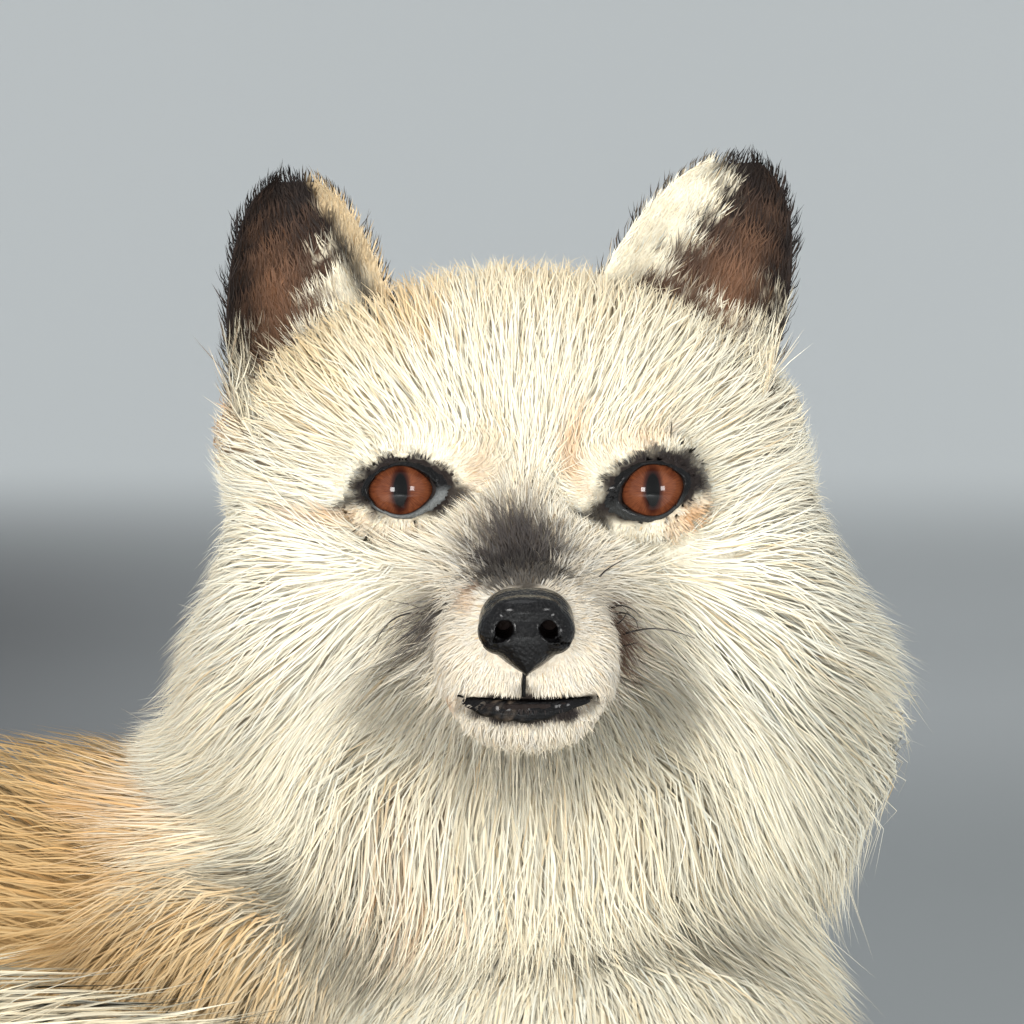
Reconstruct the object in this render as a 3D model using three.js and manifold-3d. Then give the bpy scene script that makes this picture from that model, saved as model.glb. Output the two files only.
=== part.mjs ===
// A life-size fox at rest: it lies curled on its belly with its head raised and
// turned across its body, and its brush wraps round in front of it.
//
// Millimetres. +Z is up, the face looks along -Y, and the spine runs from the chest
// towards -X. Every body solid is the outline of the coat, out to the hair tips.
// The body is shaped as one smooth distance field, then parted with thin cuts.

import * as THREE from "three";
import { mergeVertices } from "three/addons/utils/BufferGeometryUtils.js";
import Module from "manifold-3d";

const wasm = await Module();
wasm.setup();

// ---------------------------------------------------------------- driving sizes

const EYE_HEIGHT = 238; // above the ground, at the middle between the eyes
const EYE_SPACING = 55.4;
const EYE_RADIUS = 10.5;
const EYE_SET_BACK = 8.5; // how far each eyeball's centre lies behind the face
const HEAD_PITCH = THREE.MathUtils.degToRad(2); // nose raised
const GAP = 0.4; // between neighbouring solids
const CLEARANCE = 1.3; // how far a netted cutter stands off the solid it makes room for
const MUSCLE_MARGIN = 3; // how far round a muscle's ellipsoid its own solid reaches
const BOX_SIDE = 2000; // a block large enough to cut the whole body
const BOX_MARGIN = 34; // room left round a limb in the box that it is netted in
const MOUTH_HEIGHT = -43.2; // the mouth line, below the eyes
const MUZZLE_START = -14; // where the muzzle leaves the face
const TOES = 4;

// Grid spacing of each surface: small where the form is small.
const CELL = {
  muzzle: 7.6,
  head: 16.5,
  neck: 26,
  trunk: 34,
  tail: 31,
  forearm: 20,
  hock: 19,
  paw: 12,
};

// Colour, roughness and metalness of each finish.
const FINISH = {
  pale: { color: 0xe9e2cf, roughness: 0.9, metalness: 0 },
  golden: { color: 0xd0a873, roughness: 0.9, metalness: 0 },
  dark: { color: 0x4a3a30, roughness: 0.9, metalness: 0 },
  nose: { color: 0x16171b, roughness: 0.4, metalness: 0 },
  eye: { color: 0x8a3d1c, roughness: 0.1, metalness: 0 },
};

// ---------------------------------------------------------------- distance fields

// A field gives the signed distance from a point to a surface, negative inside.

const mix = (a, b, t) => a + (b - a) * t;
const clamp01 = (t) => Math.min(1, Math.max(0, t));

// An ellipsoid, turned by an angle about the vertical.
function ball([cx, cy, cz], [rx, ry, rz], turn = 0) {
  const cosine = Math.cos(turn);
  const sine = Math.sin(turn);
  return (x, y, z) => {
    const u = (x - cx) * cosine + (y - cy) * sine;
    const v = (y - cy) * cosine - (x - cx) * sine;
    const w = z - cz;
    const near = Math.hypot(u / rx, v / ry, w / rz);
    const slope = Math.hypot(u / rx ** 2, v / ry ** 2, w / rz ** 2);
    return slope > 0 ? (near * (near - 1)) / slope : -Math.min(rx, ry, rz);
  };
}

// A tube through stations [x, y, z, radius], as thick as each station says.
function limb(...stations) {
  return (x, y, z) => {
    let best = Infinity;
    for (let i = 1; i < stations.length; i++) {
      const [ax, ay, az, ar] = stations[i - 1];
      const [bx, by, bz, br] = stations[i];
      const [dx, dy, dz] = [bx - ax, by - ay, bz - az];
      const along = (x - ax) * dx + (y - ay) * dy + (z - az) * dz;
      const t = clamp01(along / (dx * dx + dy * dy + dz * dz));
      const away = Math.hypot(x - ax - dx * t, y - ay - dy * t, z - az - dz * t);
      best = Math.min(best, away - mix(ar, br, t));
    }
    return best;
  };
}

// Joins fields with a rounded fillet of about the blend's size.
function melt(blend, ...fields) {
  return (x, y, z) => {
    let joined = fields[0](x, y, z);
    for (let i = 1; i < fields.length; i++) {
      const next = fields[i](x, y, z);
      const h = clamp01(0.5 + (next - joined) / (2 * blend));
      joined = mix(next, joined, h) - blend * h * (1 - h);
    }
    return joined;
  };
}

// Places a field made in the head's own frame: the origin between the eyes, +X to the
// fox's left, +Y back through the skull and +Z up.
function onHead(field) {
  const cosine = Math.cos(HEAD_PITCH);
  const sine = Math.sin(HEAD_PITCH);
  return (x, y, z) => {
    const h = z - EYE_HEIGHT;
    return field(x, y * cosine - h * sine, y * sine + h * cosine);
  };
}

// ---------------------------------------------------------------- fields to solids

const PROBE = 0.5; // half the distance over which a field's slope is measured
const FLATTEST = 0.3; // the least slope that a step trusts
const SETTLING = 0.25; // the longest step onto the surface, as a share of a cell

// Nets a field's surface on a grid: one vertex in each cell that the surface crosses,
// and one quad round each grid edge that is crossed. Growth moves the surface outwards.
function netted(field, low, high, cell, growth = 0) {
  const size = low.map((v, k) => Math.ceil((high[k] - v) / cell) + 1);
  const at = (i, j, k) => i + size[0] * (j + size[1] * k);
  const step = [1, size[0], size[0] * size[1]];
  const values = new Float32Array(size[0] * size[1] * size[2]);
  const onBorder = (i, k) => i === 0 || i === size[k] - 1;
  for (let k = 0; k < size[2]; k++)
    for (let j = 0; j < size[1]; j++)
      for (let i = 0; i < size[0]; i++) {
        const value = field(low[0] + i * cell, low[1] + j * cell, low[2] + k * cell);
        const closes = onBorder(i, 0) || onBorder(j, 1) || onBorder(k, 2);
        values[at(i, j, k)] = closes ? Math.max(value, cell) : value;
      }

  const vertexOf = new Map();
  const vertices = [];
  for (let k = 0; k < size[2] - 1; k++)
    for (let j = 0; j < size[1] - 1; j++)
      for (let i = 0; i < size[0] - 1; i++) {
        const middle = cellCrossing(values, at(i, j, k), step);
        if (!middle) continue;
        vertexOf.set(at(i, j, k), vertices.length / 3);
        const place = [i, j, k].map((n, axis) => low[axis] + (n + middle[axis]) * cell);
        vertices.push(...settled(field, place, cell * SETTLING, growth));
      }

  const triangles = [];
  for (let axis = 0; axis < 3; axis++) {
    const side = (axis + 1) % 3;
    const other = (axis + 2) % 3;
    for (const here of vertexOf.keys()) {
      const inside = values[here] < 0;
      if (inside === values[here + step[axis]] < 0) continue;
      const quad = [0, -step[side], -step[side] - step[other], -step[other]].map((offset) =>
        vertexOf.get(here + offset),
      );
      if (!inside) quad.reverse();
      triangles.push(quad[0], quad[1], quad[2], quad[0], quad[2], quad[3]);
    }
  }
  return largest(
    new wasm.Manifold(
      new wasm.Mesh({
        numProp: 3,
        vertProperties: new Float32Array(vertices),
        triVerts: new Uint32Array(triangles),
      }),
    ),
  );
}

// Moves a point straight onto the field's surface, by no more than a limit, and then
// outwards by the growth.
function settled(field, [x, y, z], limit, growth) {
  const slope = [
    field(x + PROBE, y, z) - field(x - PROBE, y, z),
    field(x, y + PROBE, z) - field(x, y - PROBE, z),
    field(x, y, z + PROBE) - field(x, y, z - PROBE),
  ].map((rise) => rise / (2 * PROBE));
  const steepness = Math.max(Math.hypot(...slope), FLATTEST);
  const away = Math.max(-limit, Math.min(limit, field(x, y, z) / steepness));
  return [x, y, z].map((v, axis) => v + ((growth - away) * slope[axis]) / steepness);
}

// The mean place, from 0 to 1 each way, where a cell's twelve edges cross the surface.
function cellCrossing(values, start, step) {
  const sum = [0, 0, 0];
  let crossings = 0;
  for (let corner = 0; corner < 8; corner++) {
    const bits = [corner & 1, (corner >> 1) & 1, (corner >> 2) & 1];
    const from = start + bits[0] * step[0] + bits[1] * step[1] + bits[2] * step[2];
    for (let axis = 0; axis < 3; axis++) {
      if (bits[axis]) continue;
      const a = values[from];
      const b = values[from + step[axis]];
      if (a < 0 === b < 0) continue;
      for (let m = 0; m < 3; m++) sum[m] += m === axis ? a / (a - b) : bits[m];
      crossings++;
    }
  }
  return crossings ? sum.map((s) => s / crossings) : null;
}

// The largest of a solid's separate bodies.
function largest(solid) {
  return solid.decompose().reduce((a, b) => (a.volume() > b.volume() ? a : b));
}

// A three.js geometry as a manifold solid.
function solidOf(geometry) {
  const bare = geometry.clone();
  bare.deleteAttribute("normal");
  bare.deleteAttribute("uv");
  const merged = mergeVertices(bare, 1e-3);
  return new wasm.Manifold(
    new wasm.Mesh({
      numProp: 3,
      vertProperties: merged.attributes.position.array,
      triVerts: new Uint32Array(merged.index.array),
    }),
  );
}

// A manifold solid as a three.js geometry.
function geometryOf(solid) {
  const mesh = solid.getMesh();
  return new THREE.BufferGeometry()
    .setAttribute("position", new THREE.BufferAttribute(new Float32Array(mesh.vertProperties), 3))
    .setIndex(new THREE.BufferAttribute(new Uint32Array(mesh.triVerts), 1));
}

// The half of space that a plane's normal points into, set back by half the gap.
function halfSpace([px, py, pz], normal) {
  const facing = new THREE.Vector3(...normal).normalize();
  const block = new THREE.BoxGeometry(BOX_SIDE, BOX_SIDE, BOX_SIDE);
  block.translate(0, 0, BOX_SIDE / 2 + GAP / 2);
  block.applyQuaternion(new THREE.Quaternion().setFromUnitVectors(new THREE.Vector3(0, 0, 1), facing));
  return solidOf(block.translate(px, py, pz));
}

// A plane given in the head's frame, as a point and a normal in the body's frame.
function headPlane(point, normal) {
  const turn = new THREE.Euler(-HEAD_PITCH, 0, 0);
  const place = new THREE.Vector3(...point).applyEuler(turn).add(new THREE.Vector3(0, 0, EYE_HEIGHT));
  return [place.toArray(), new THREE.Vector3(...normal).applyEuler(turn).toArray()];
}

const opposite = ([point, normal]) => [point, normal.map((v) => -v)];

// Keeps what lies on the normal's side of every plane.
const trimmed = (solid, ...planes) =>
  largest(planes.reduce((left, plane) => left.intersect(halfSpace(...plane)), solid));

// Takes other solids away and keeps the largest body that is left.
const without = (solid, ...others) =>
  largest(solid.subtract(others.reduce((all, other) => all.add(other))));

const GROUND = [[0, 0, -GAP / 2], [0, 0, 1]];

// ---------------------------------------------------------------- head

const eyeX = EYE_SPACING / 2;

const skullField = melt(
  12,
  ball([-2, 48, 8], [65, 54, 43]), // braincase
  ball([0, 15, 5], [37, 25, 23]), // brow
  ball([-37, 36, -22], [36, 42, 34]), // cheeks
  ball([37, 36, -22], [36, 42, 34]),
);
const ruffField = melt(
  14,
  ball([-46, 56, -44], [38, 38, 36]), // side whiskers of the ruff, fuller on the left
  ball([53, 54, -44], [38, 38, 34]),
);
const muzzleField = melt(
  8,
  limb([0, 12, -22, 29], [0, -20, -30, 22], [0, -45, -34, 18]),
  ball([-9, -50, -35], [10, 12, 10]), // whisker pads
  ball([9, -50, -35], [10, 12, 10]),
  ball([0, -49, -45], [11, 11, 9]), // chin
);
const headField = onHead(melt(9, melt(14, skullField, ruffField), muzzleField));

// ---------------------------------------------------------------- body

// Stations along the spine, as the middle of the trunk with the coat's radius.
const CHEST = [12, 24, 84, 80];
const WITHERS = [-62, 80, 86, 91];
const BACK = [-150, 118, 84, 91];
const LOIN = [-235, 108, 80, 88];
const HIP = [-300, 58, 78, 84];
const RUMP = [-325, 5, 70, 66];

const neckField = melt(14, ball([2, 50, 192], [72, 62, 60]), ball([4, 44, 136], [80, 66, 78]));
const trunkField = limb(CHEST, WITHERS, BACK, LOIN, HIP, RUMP);

const UPPER_ARM = {
  right: { middle: [-64, 16, 104], radii: [44, 44, 56], turn: 0 },
  left: { middle: [50, 30, 86], radii: [36, 48, 56], turn: 0 },
};
const THIGH = {
  right: { middle: [-252, -2, 78], radii: [72, 48, 74], turn: 0.12 },
  left: { middle: [-246, 160, 74], radii: [70, 48, 70], turn: -0.1 },
};
const bulge = ({ middle, radii, turn }) => ball(middle, radii, turn);

const bodyField = melt(
  16,
  melt(20, neckField, headField),
  trunkField,
  bulge(UPPER_ARM.right),
  bulge(UPPER_ARM.left),
  bulge(THIGH.right),
  bulge(THIGH.left),
);

// ---------------------------------------------------------------- legs and tail

// Each lower leg is a limb from its upper joint to the joint above the paw, and each
// paw lies from that joint along its heading, in degrees from +X.
const FORELEG = {
  right: { stations: [[-48, -4, 36, 35], [-12, -52, 31, 29], [24, -104, 25, 23]], heading: -57 },
  left: { stations: [[60, 6, 36, 34], [82, -42, 31, 28], [104, -92, 25, 23]], heading: -62 },
};
const HIND_LEG = {
  right: { stations: [[-292, -54, 38, 32], [-222, -88, 26, 25], [-158, -104, 22, 21]], heading: -8 },
  left: { stations: [[-312, 170, 36, 30], [-256, 200, 26, 24], [-206, 206, 23, 22]], heading: 2 },
};

// A paw with its toes side by side, its wrist at a station, pointing along a heading.
function pawField([wx, wy, wz, wr], heading) {
  const angle = THREE.MathUtils.degToRad(heading);
  const place = (forward, sideways, up) => [
    wx + forward * Math.cos(angle) - sideways * Math.sin(angle),
    wy + forward * Math.sin(angle) + sideways * Math.cos(angle),
    up,
  ];
  const toes = Array.from({ length: TOES }, (_, i) => {
    const across = i - (TOES - 1) / 2;
    const reach = 46 - 2.6 * across * across;
    return ball(place(reach, across * 11, 12), [17, 8.6, 12.5], angle);
  });
  return melt(
    4,
    limb([wx, wy, wz, wr], [...place(22, 0, 19), 20]),
    ball(place(26, 0, 15), [26, 23, 18], angle),
    ...toes,
  );
}

// The brush, as stations along its axis from the root to the tip.
const TAIL = [
  [-332, -16, 60, 42],
  [-338, -76, 56, 48],
  [-296, -123, 63, 56],
  [-214, -137, 75, 63],
  [-128, -133, 89, 65],
  [-66, -130, 82, 55],
  [-22, -134, 62, 40],
  [8, -142, 44, 16],
];

// The box round a limb's stations, grown by the thickest of them.
function boxRound(stations) {
  const grow = BOX_MARGIN + Math.max(...stations.map((s) => s[3]));
  const side = (k, pick, sign) => pick(...stations.map((s) => s[k])) + sign * grow;
  return [
    [0, 1, 2].map((k) => side(k, Math.min, -1)),
    [0, 1, 2].map((k) => side(k, Math.max, 1)),
  ];
}

// A limb's solid above the ground, and the same solid grown by the gap to cut others.
function madeLimb(field, stations, cell) {
  const box = boxRound(stations);
  return {
    solid: netted(field, ...box, cell).intersect(halfSpace(...GROUND)),
    cutter: netted(field, ...box, cell, CLEARANCE),
  };
}

// One leg below its bulge of muscle: the long part, and the paw cut from its end.
function madeLeg({ stations, heading }, cell) {
  const ankle = stations.at(-1);
  const angle = THREE.MathUtils.degToRad(heading);
  const cut = [ankle.slice(0, 3), [Math.cos(angle), Math.sin(angle), 0]];
  const reach = [ankle[0] + 60 * Math.cos(angle), ankle[1] + 60 * Math.sin(angle), ankle[2], 20];
  const long = madeLimb(limb(...stations), stations, cell);
  const paw = madeLimb(pawField(ankle, heading), [ankle, reach], CELL.paw);
  return {
    long: trimmed(long.solid, opposite(cut)),
    paw: trimmed(paw.solid, cut),
    cutters: [long.cutter, paw.cutter],
  };
}

// ---------------------------------------------------------------- ears, eyes, nose

// An ear is a cupped leaf: its rims lean forward of its back, and it narrows to a
// rounded tip. Sizes are in the head's frame.
const EAR = {
  right: { root: [-47, 50, 20], tip: [-53, 45, 72], halfWidth: 21.5, cup: 15, thickness: 7, turn: 0.1 },
  left: { root: [41, 50, 20], tip: [48.5, 46, 77], halfWidth: 23, cup: 15, thickness: 7, turn: -0.12 },
};
const EAR_ROWS = 7;
const EAR_COLUMNS = 6;

// A closed mesh of front and back sheets over the ear's leaf.
function earSolid({ root, tip, halfWidth, cup, thickness, turn }) {
  const base = new THREE.Vector3(...root);
  const up = new THREE.Vector3(...tip).sub(base);
  const sideways = new THREE.Vector3(Math.cos(turn), Math.sin(turn), 0);
  const forward = new THREE.Vector3().crossVectors(sideways, up).normalize();
  const positions = [];
  for (const sheet of [-1, 1])
    for (let row = 0; row <= EAR_ROWS; row++)
      for (let column = 0; column <= EAR_COLUMNS; column++) {
        const t = row / EAR_ROWS;
        const u = (2 * column) / EAR_COLUMNS - 1;
        const width = halfWidth * Math.sqrt(Math.max(1 - t ** 2.6, 0.03));
        const depth = cup * (1 - 0.75 * t) * u * u - (sheet * thickness * (1 - 0.55 * u * u)) / 2;
        const point = base.clone();
        point.addScaledVector(up, t).addScaledVector(sideways, width * u).addScaledVector(forward, depth);
        positions.push(...point.toArray());
      }
  const across = EAR_COLUMNS + 1;
  const sheetSize = across * (EAR_ROWS + 1);
  const triangles = [];
  const quad = (a, b, c, d) => triangles.push(a, b, c, a, c, d);
  for (let row = 0; row < EAR_ROWS; row++)
    for (let column = 0; column < EAR_COLUMNS; column++) {
      const a = row * across + column;
      quad(a, a + 1, a + across + 1, a + across);
      quad(sheetSize + a, sheetSize + a + across, sheetSize + a + across + 1, sheetSize + a + 1);
    }
  for (let row = 0; row < EAR_ROWS; row++) {
    const left = row * across;
    const right = left + EAR_COLUMNS;
    quad(left, left + across, sheetSize + left + across, sheetSize + left);
    quad(right, sheetSize + right, sheetSize + right + across, right + across);
  }
  for (let column = 0; column < EAR_COLUMNS; column++) {
    const top = EAR_ROWS * across + column;
    quad(column, sheetSize + column, sheetSize + column + 1, column + 1);
    quad(top, top + 1, sheetSize + top + 1, sheetSize + top);
  }
  const leaf = new THREE.BufferGeometry()
    .setAttribute("position", new THREE.Float32BufferAttribute(positions, 3))
    .setIndex(triangles);
  return solidOf(toBody(leaf));
}

// Moves a geometry from the head's frame to the body's.
function toBody(geometry) {
  return geometry.rotateX(-HEAD_PITCH).translate(0, 0, EYE_HEIGHT);
}

const eyeball = (side, radius) =>
  solidOf(toBody(new THREE.SphereGeometry(radius, 12, 8).translate(side * eyeX, EYE_SET_BACK, 0)));

// The opening between the lids, as a cutter.
const LID_OPENING = { radii: [10.4, 15, 7.4], depth: -8.3, height: 0.4 };
const lidOpening = (side) =>
  solidOf(
    toBody(
      new THREE.SphereGeometry(1, 10, 7)
        .scale(...LID_OPENING.radii)
        .translate(side * eyeX, LID_OPENING.depth, LID_OPENING.height),
    ),
  );

const NOSE = { middle: [0, -63, -28.4], radii: [9.9, 9, 8.9] };
const noseLeather = (growth) =>
  solidOf(
    toBody(
      new THREE.SphereGeometry(1, 14, 8)
        .scale(...NOSE.radii.map((r) => r + growth))
        .translate(...NOSE.middle),
    ),
  );

// ---------------------------------------------------------------- parting the body

// The planes between neighbouring parts, each facing the part nearer the nose.
const PLANE = {
  muzzle: headPlane([0, MUZZLE_START, 0], [0, -1, 0]),
  mouth: headPlane([0, 0, MOUTH_HEIGHT], [0, 0, 1]),
  head: [[0, -60, 179], [0, -0.27, 0.96]],
  neck: [[10, 35, 138], [0.35, -0.45, 0.82]],
  chest: [[-120, 105, 90], [0.92, -0.4, 0]],
  belly: [[-227, 110, 80], [0.99, 0.12, 0]],
};

const eyes = { right: eyeball(-1, EYE_RADIUS), left: eyeball(1, EYE_RADIUS) };
const sockets = [-1, 1].flatMap((side) => [eyeball(side, EYE_RADIUS + GAP), lidOpening(side)]);

const faceShell = netted(bodyField, [-60, -90, 140], [60, 10, 270], CELL.muzzle);
const headBox = [[-130, -50, 120], [140, 150, 320]];
const headShell = netted(bodyField, ...headBox, CELL.head);
const skullCutter = netted(bodyField, ...headBox, CELL.head, CLEARANCE);
const neckShell = netted(bodyField, [-130, -90, 20], [140, 170, 290], CELL.neck);
const trunkShell = netted(bodyField, [-430, -130, -60], [150, 270, 300], CELL.trunk).intersect(
  halfSpace(...GROUND),
);

const head = without(trimmed(headShell, PLANE.head, opposite(PLANE.muzzle)), ...sockets);
const muzzle = without(
  trimmed(faceShell, PLANE.head, PLANE.muzzle, PLANE.mouth),
  noseLeather(GAP),
  ...sockets,
);
const jaw = without(trimmed(faceShell, PLANE.head, PLANE.muzzle, opposite(PLANE.mouth)), noseLeather(GAP));
const neck = trimmed(neckShell, opposite(PLANE.head), PLANE.neck);

const legs = {
  forearm_right: madeLeg(FORELEG.right, CELL.forearm),
  forearm_left: madeLeg(FORELEG.left, CELL.forearm),
  hock_right: madeLeg(HIND_LEG.right, CELL.hock),
  hock_left: madeLeg(HIND_LEG.left, CELL.hock),
};
const legCutters = Object.values(legs).flatMap((leg) => leg.cutters);
const tail = madeLimb(limb(...TAIL), TAIL, CELL.tail);

// A leg's bulge of muscle is parted from the trunk along an ellipsoid round it.
const muscleRegion = ({ middle, radii, turn }, growth) =>
  solidOf(
    new THREE.SphereGeometry(1, 12, 6)
      .scale(...radii.map((r) => r + MUSCLE_MARGIN + growth))
      .rotateZ(turn)
      .translate(...middle),
  );
const muscles = [UPPER_ARM.right, UPPER_ARM.left, THIGH.right, THIGH.left];
const muscleCutters = muscles.map((muscle) => muscleRegion(muscle, GAP));
const [armRight, armLeft, thighRight, thighLeft] = muscles.map((muscle) =>
  without(trimmed(trunkShell.intersect(muscleRegion(muscle, 0)), opposite(PLANE.neck)), ...legCutters),
);
const trunk = without(trunkShell, ...muscleCutters, ...legCutters, tail.cutter);

// The brush lies over the near hind foot and the near forearm.
const brush = without(tail.solid, ...legCutters, ...muscleCutters);
const tailCut = ([ax, ay, az], [bx, by, bz]) => [
  [(ax + bx) / 2, (ay + by) / 2, (az + bz) / 2],
  [bx - ax, by - ay, bz - az],
];
const firstCut = tailCut(TAIL[2], TAIL[3]);
const secondCut = tailCut(TAIL[4], TAIL[5]);

// ---------------------------------------------------------------- the group

const noseSolid = noseLeather(0);
const headMade = without(head, noseLeather(GAP));
const ears = {
  right: without(earSolid(EAR.right), skullCutter),
  left: without(earSolid(EAR.left), skullCutter),
};

const PARTS = [
  ["head", headMade, "pale"],
  ["muzzle", muzzle, "pale"],
  ["jaw", jaw, "pale"],
  ["nose", noseSolid, "nose"],
  ["eye_right", eyes.right, "eye"],
  ["eye_left", eyes.left, "eye"],
  ["ear_right", ears.right, "dark"],
  ["ear_left", ears.left, "dark"],
  ["neck", neck, "pale"],
  ["chest", trimmed(trunk, opposite(PLANE.neck), PLANE.chest), "golden"],
  ["belly", trimmed(trunk, opposite(PLANE.chest), PLANE.belly), "golden"],
  ["rump", trimmed(trunk, opposite(PLANE.belly)), "golden"],
  ["upper_arm_right", armRight, "golden"],
  ["upper_arm_left", armLeft, "golden"],
  ["forearm_right", legs.forearm_right.long, "golden"],
  ["forearm_left", legs.forearm_left.long, "golden"],
  ["forepaw_right", legs.forearm_right.paw, "dark"],
  ["forepaw_left", legs.forearm_left.paw, "dark"],
  ["thigh_right", thighRight, "golden"],
  ["thigh_left", thighLeft, "golden"],
  ["hock_right", legs.hock_right.long, "golden"],
  ["hock_left", legs.hock_left.long, "golden"],
  ["hindpaw_right", legs.hock_right.paw, "dark"],
  ["hindpaw_left", legs.hock_left.paw, "dark"],
  ["tail_root", trimmed(brush, opposite(firstCut)), "golden"],
  ["tail_middle", trimmed(brush, firstCut, opposite(secondCut)), "pale"],
  ["tail_tip", trimmed(brush, secondCut), "pale"],
];

const fox = new THREE.Group();
for (const [name, solid, finish] of PARTS) {
  const mesh = new THREE.Mesh(geometryOf(solid), new THREE.MeshStandardMaterial(FINISH[finish]));
  mesh.name = name;
  fox.add(mesh);
}

// The origin goes to the middle of the footprint, on the ground.
const extent = new THREE.Box3().setFromObject(fox);
const centre = extent.getCenter(new THREE.Vector3());
for (const mesh of fox.children) mesh.position.set(-centre.x, -centre.y, -extent.min.z);

export default fox;
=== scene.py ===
"""A life-size fox at rest: curled on its belly, head raised, the brush wrapped round in front.

Lengths are in millimetres in the fox's own frame. Its origin lies on the ground below the
middle between the eyes, +Z is up, the face looks along -Y and +X is the fox's own left.
``Placement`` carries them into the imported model's frame, in metres.

The body is one smooth distance field. Each of its forms has a coat depth, so the same
forms give the skin, the coat's outline and every level of the coat between the two.
"""

import logging
import math
from collections.abc import Callable, Iterator, Sequence
from dataclasses import dataclass, field
from enum import Enum

import bpy
import numpy as np
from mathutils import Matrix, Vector, kdtree


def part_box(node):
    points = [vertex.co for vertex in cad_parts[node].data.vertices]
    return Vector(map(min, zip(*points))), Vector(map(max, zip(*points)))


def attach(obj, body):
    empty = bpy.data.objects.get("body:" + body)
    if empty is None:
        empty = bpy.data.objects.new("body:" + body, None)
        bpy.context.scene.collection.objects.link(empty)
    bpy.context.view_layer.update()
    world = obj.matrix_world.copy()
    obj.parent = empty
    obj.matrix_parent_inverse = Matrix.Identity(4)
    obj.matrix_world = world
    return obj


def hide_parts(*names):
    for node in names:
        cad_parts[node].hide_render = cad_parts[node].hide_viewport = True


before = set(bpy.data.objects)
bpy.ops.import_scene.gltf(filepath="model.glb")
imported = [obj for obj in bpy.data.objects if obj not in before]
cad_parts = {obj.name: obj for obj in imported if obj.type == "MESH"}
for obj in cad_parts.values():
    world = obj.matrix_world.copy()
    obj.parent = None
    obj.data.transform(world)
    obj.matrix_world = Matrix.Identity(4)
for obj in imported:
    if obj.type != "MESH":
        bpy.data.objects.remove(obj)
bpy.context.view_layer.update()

LOG = logging.getLogger("fox")
MM = 0.001
SEED = 7
FAR = 1.0e3

Array = np.ndarray
Field = Callable[[Array], Array]
Triple = tuple[float, float, float]

EYE_HEIGHT = 238.0  # above the ground, at the middle between the eyes
EYE_X = 27.7
EYE_RADIUS = 10.5
EYE_BACK = 8.5  # how far each eyeball's centre lies behind the face
HEAD_PITCH = math.radians(2.0)  # nose raised
GROUND_CLEARANCE = 1.5  # of the skin's underside
DARK_SKIN = np.array([0.0024, 0.0022, 0.0024])  # of the nose, the lips and the lids' rims


# ------------------ frames


def turned(u: Array, w: Array, angle: float) -> tuple[Array, Array]:
    """A pair of coordinates, turned by an angle from the first towards the second."""
    cosine, sine = math.cos(angle), math.sin(angle)
    return u * cosine - w * sine, u * sine + w * cosine


def to_head(points: Array) -> Array:
    """Rows of points of the fox's frame, in the pitched head's frame from between the eyes."""
    return columns(points[..., 0], *turned(points[..., 1], points[..., 2] - EYE_HEIGHT, HEAD_PITCH))


def from_head(points: Array) -> Array:
    """Rows of points of the head's frame, in the fox's frame."""
    y, z = turned(points[..., 1], points[..., 2], -HEAD_PITCH)
    return columns(points[..., 0], y, z + EYE_HEIGHT)


def turned_from_head(vectors: Array) -> Array:
    """Rows of directions of the head's frame, in the fox's frame."""
    return from_head(vectors) - from_head(np.zeros(3))


class Placement:
    """Carries millimetres in the fox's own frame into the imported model's metres."""

    def __init__(self) -> None:
        """Finds the fox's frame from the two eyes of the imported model."""
        corners = [corner for name in ("eye_right", "eye_left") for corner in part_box(name)]
        middle = np.mean([list(corner) for corner in corners], axis=0)
        self.shift = middle - from_head(np.array([0.0, EYE_BACK, 0.0])) * MM

    def metres(self, points: Array) -> Array:
        """Rows of millimetres in the fox's frame, as metres in the model's frame."""
        return points * MM + self.shift


# ------------------ distance fields


def unit(vectors: Array) -> Array:
    """Rows of vectors at length one."""
    return vectors / np.maximum(np.linalg.norm(vectors, axis=-1, keepdims=True), 1e-9)


def laid(vectors: Array, normals: Array) -> Array:
    """Rows of vectors laid flat across normals, at length one."""
    return unit(vectors - (vectors * normals).sum(axis=1, keepdims=True) * normals)


def circle(count: int) -> Array:
    """Angles spread evenly round a circle."""
    return np.linspace(0.0, 2.0 * math.pi, count, endpoint=False)


def columns(*values: Array) -> Array:
    """Values side by side, as the last axis of one array."""
    return np.stack(values, axis=-1)


def smooth(low: float, high: float, values: Array) -> Array:
    """A smooth step from 0 at ``low`` to 1 at ``high``."""
    t = np.clip((values - low) / (high - low), 0.0, 1.0)
    return t * t * (3.0 - 2.0 * t)


def mixed(a: Array, b: Array, share: Array | float) -> Array:
    """The first value with a share of the way to the second."""
    return a + share * (b - a)


def ball(centre: Triple, radii: Triple, turn: float = 0.0) -> Field:
    """An ellipsoid's signed distance, close to exact near its surface.

    Args:
        centre: Its middle.
        radii: Its half axes.
        turn: Radians about the vertical.

    Returns:
        The field.
    """
    rx, ry, rz = (max(r, 0.5) for r in radii)

    def distance(p: Array) -> Array:
        dx, dy, w = (p[..., k] - centre[k] for k in range(3))
        u, v = turned(dx, dy, -turn)
        near = np.sqrt((u / rx) ** 2 + (v / ry) ** 2 + (w / rz) ** 2)
        slope = np.sqrt((u / rx**2) ** 2 + (v / ry**2) ** 2 + (w / rz**2) ** 2)
        return np.where(slope > 1e-6, near * (near - 1.0) / np.maximum(slope, 1e-6), -min(rx, ry, rz))

    return distance


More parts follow.
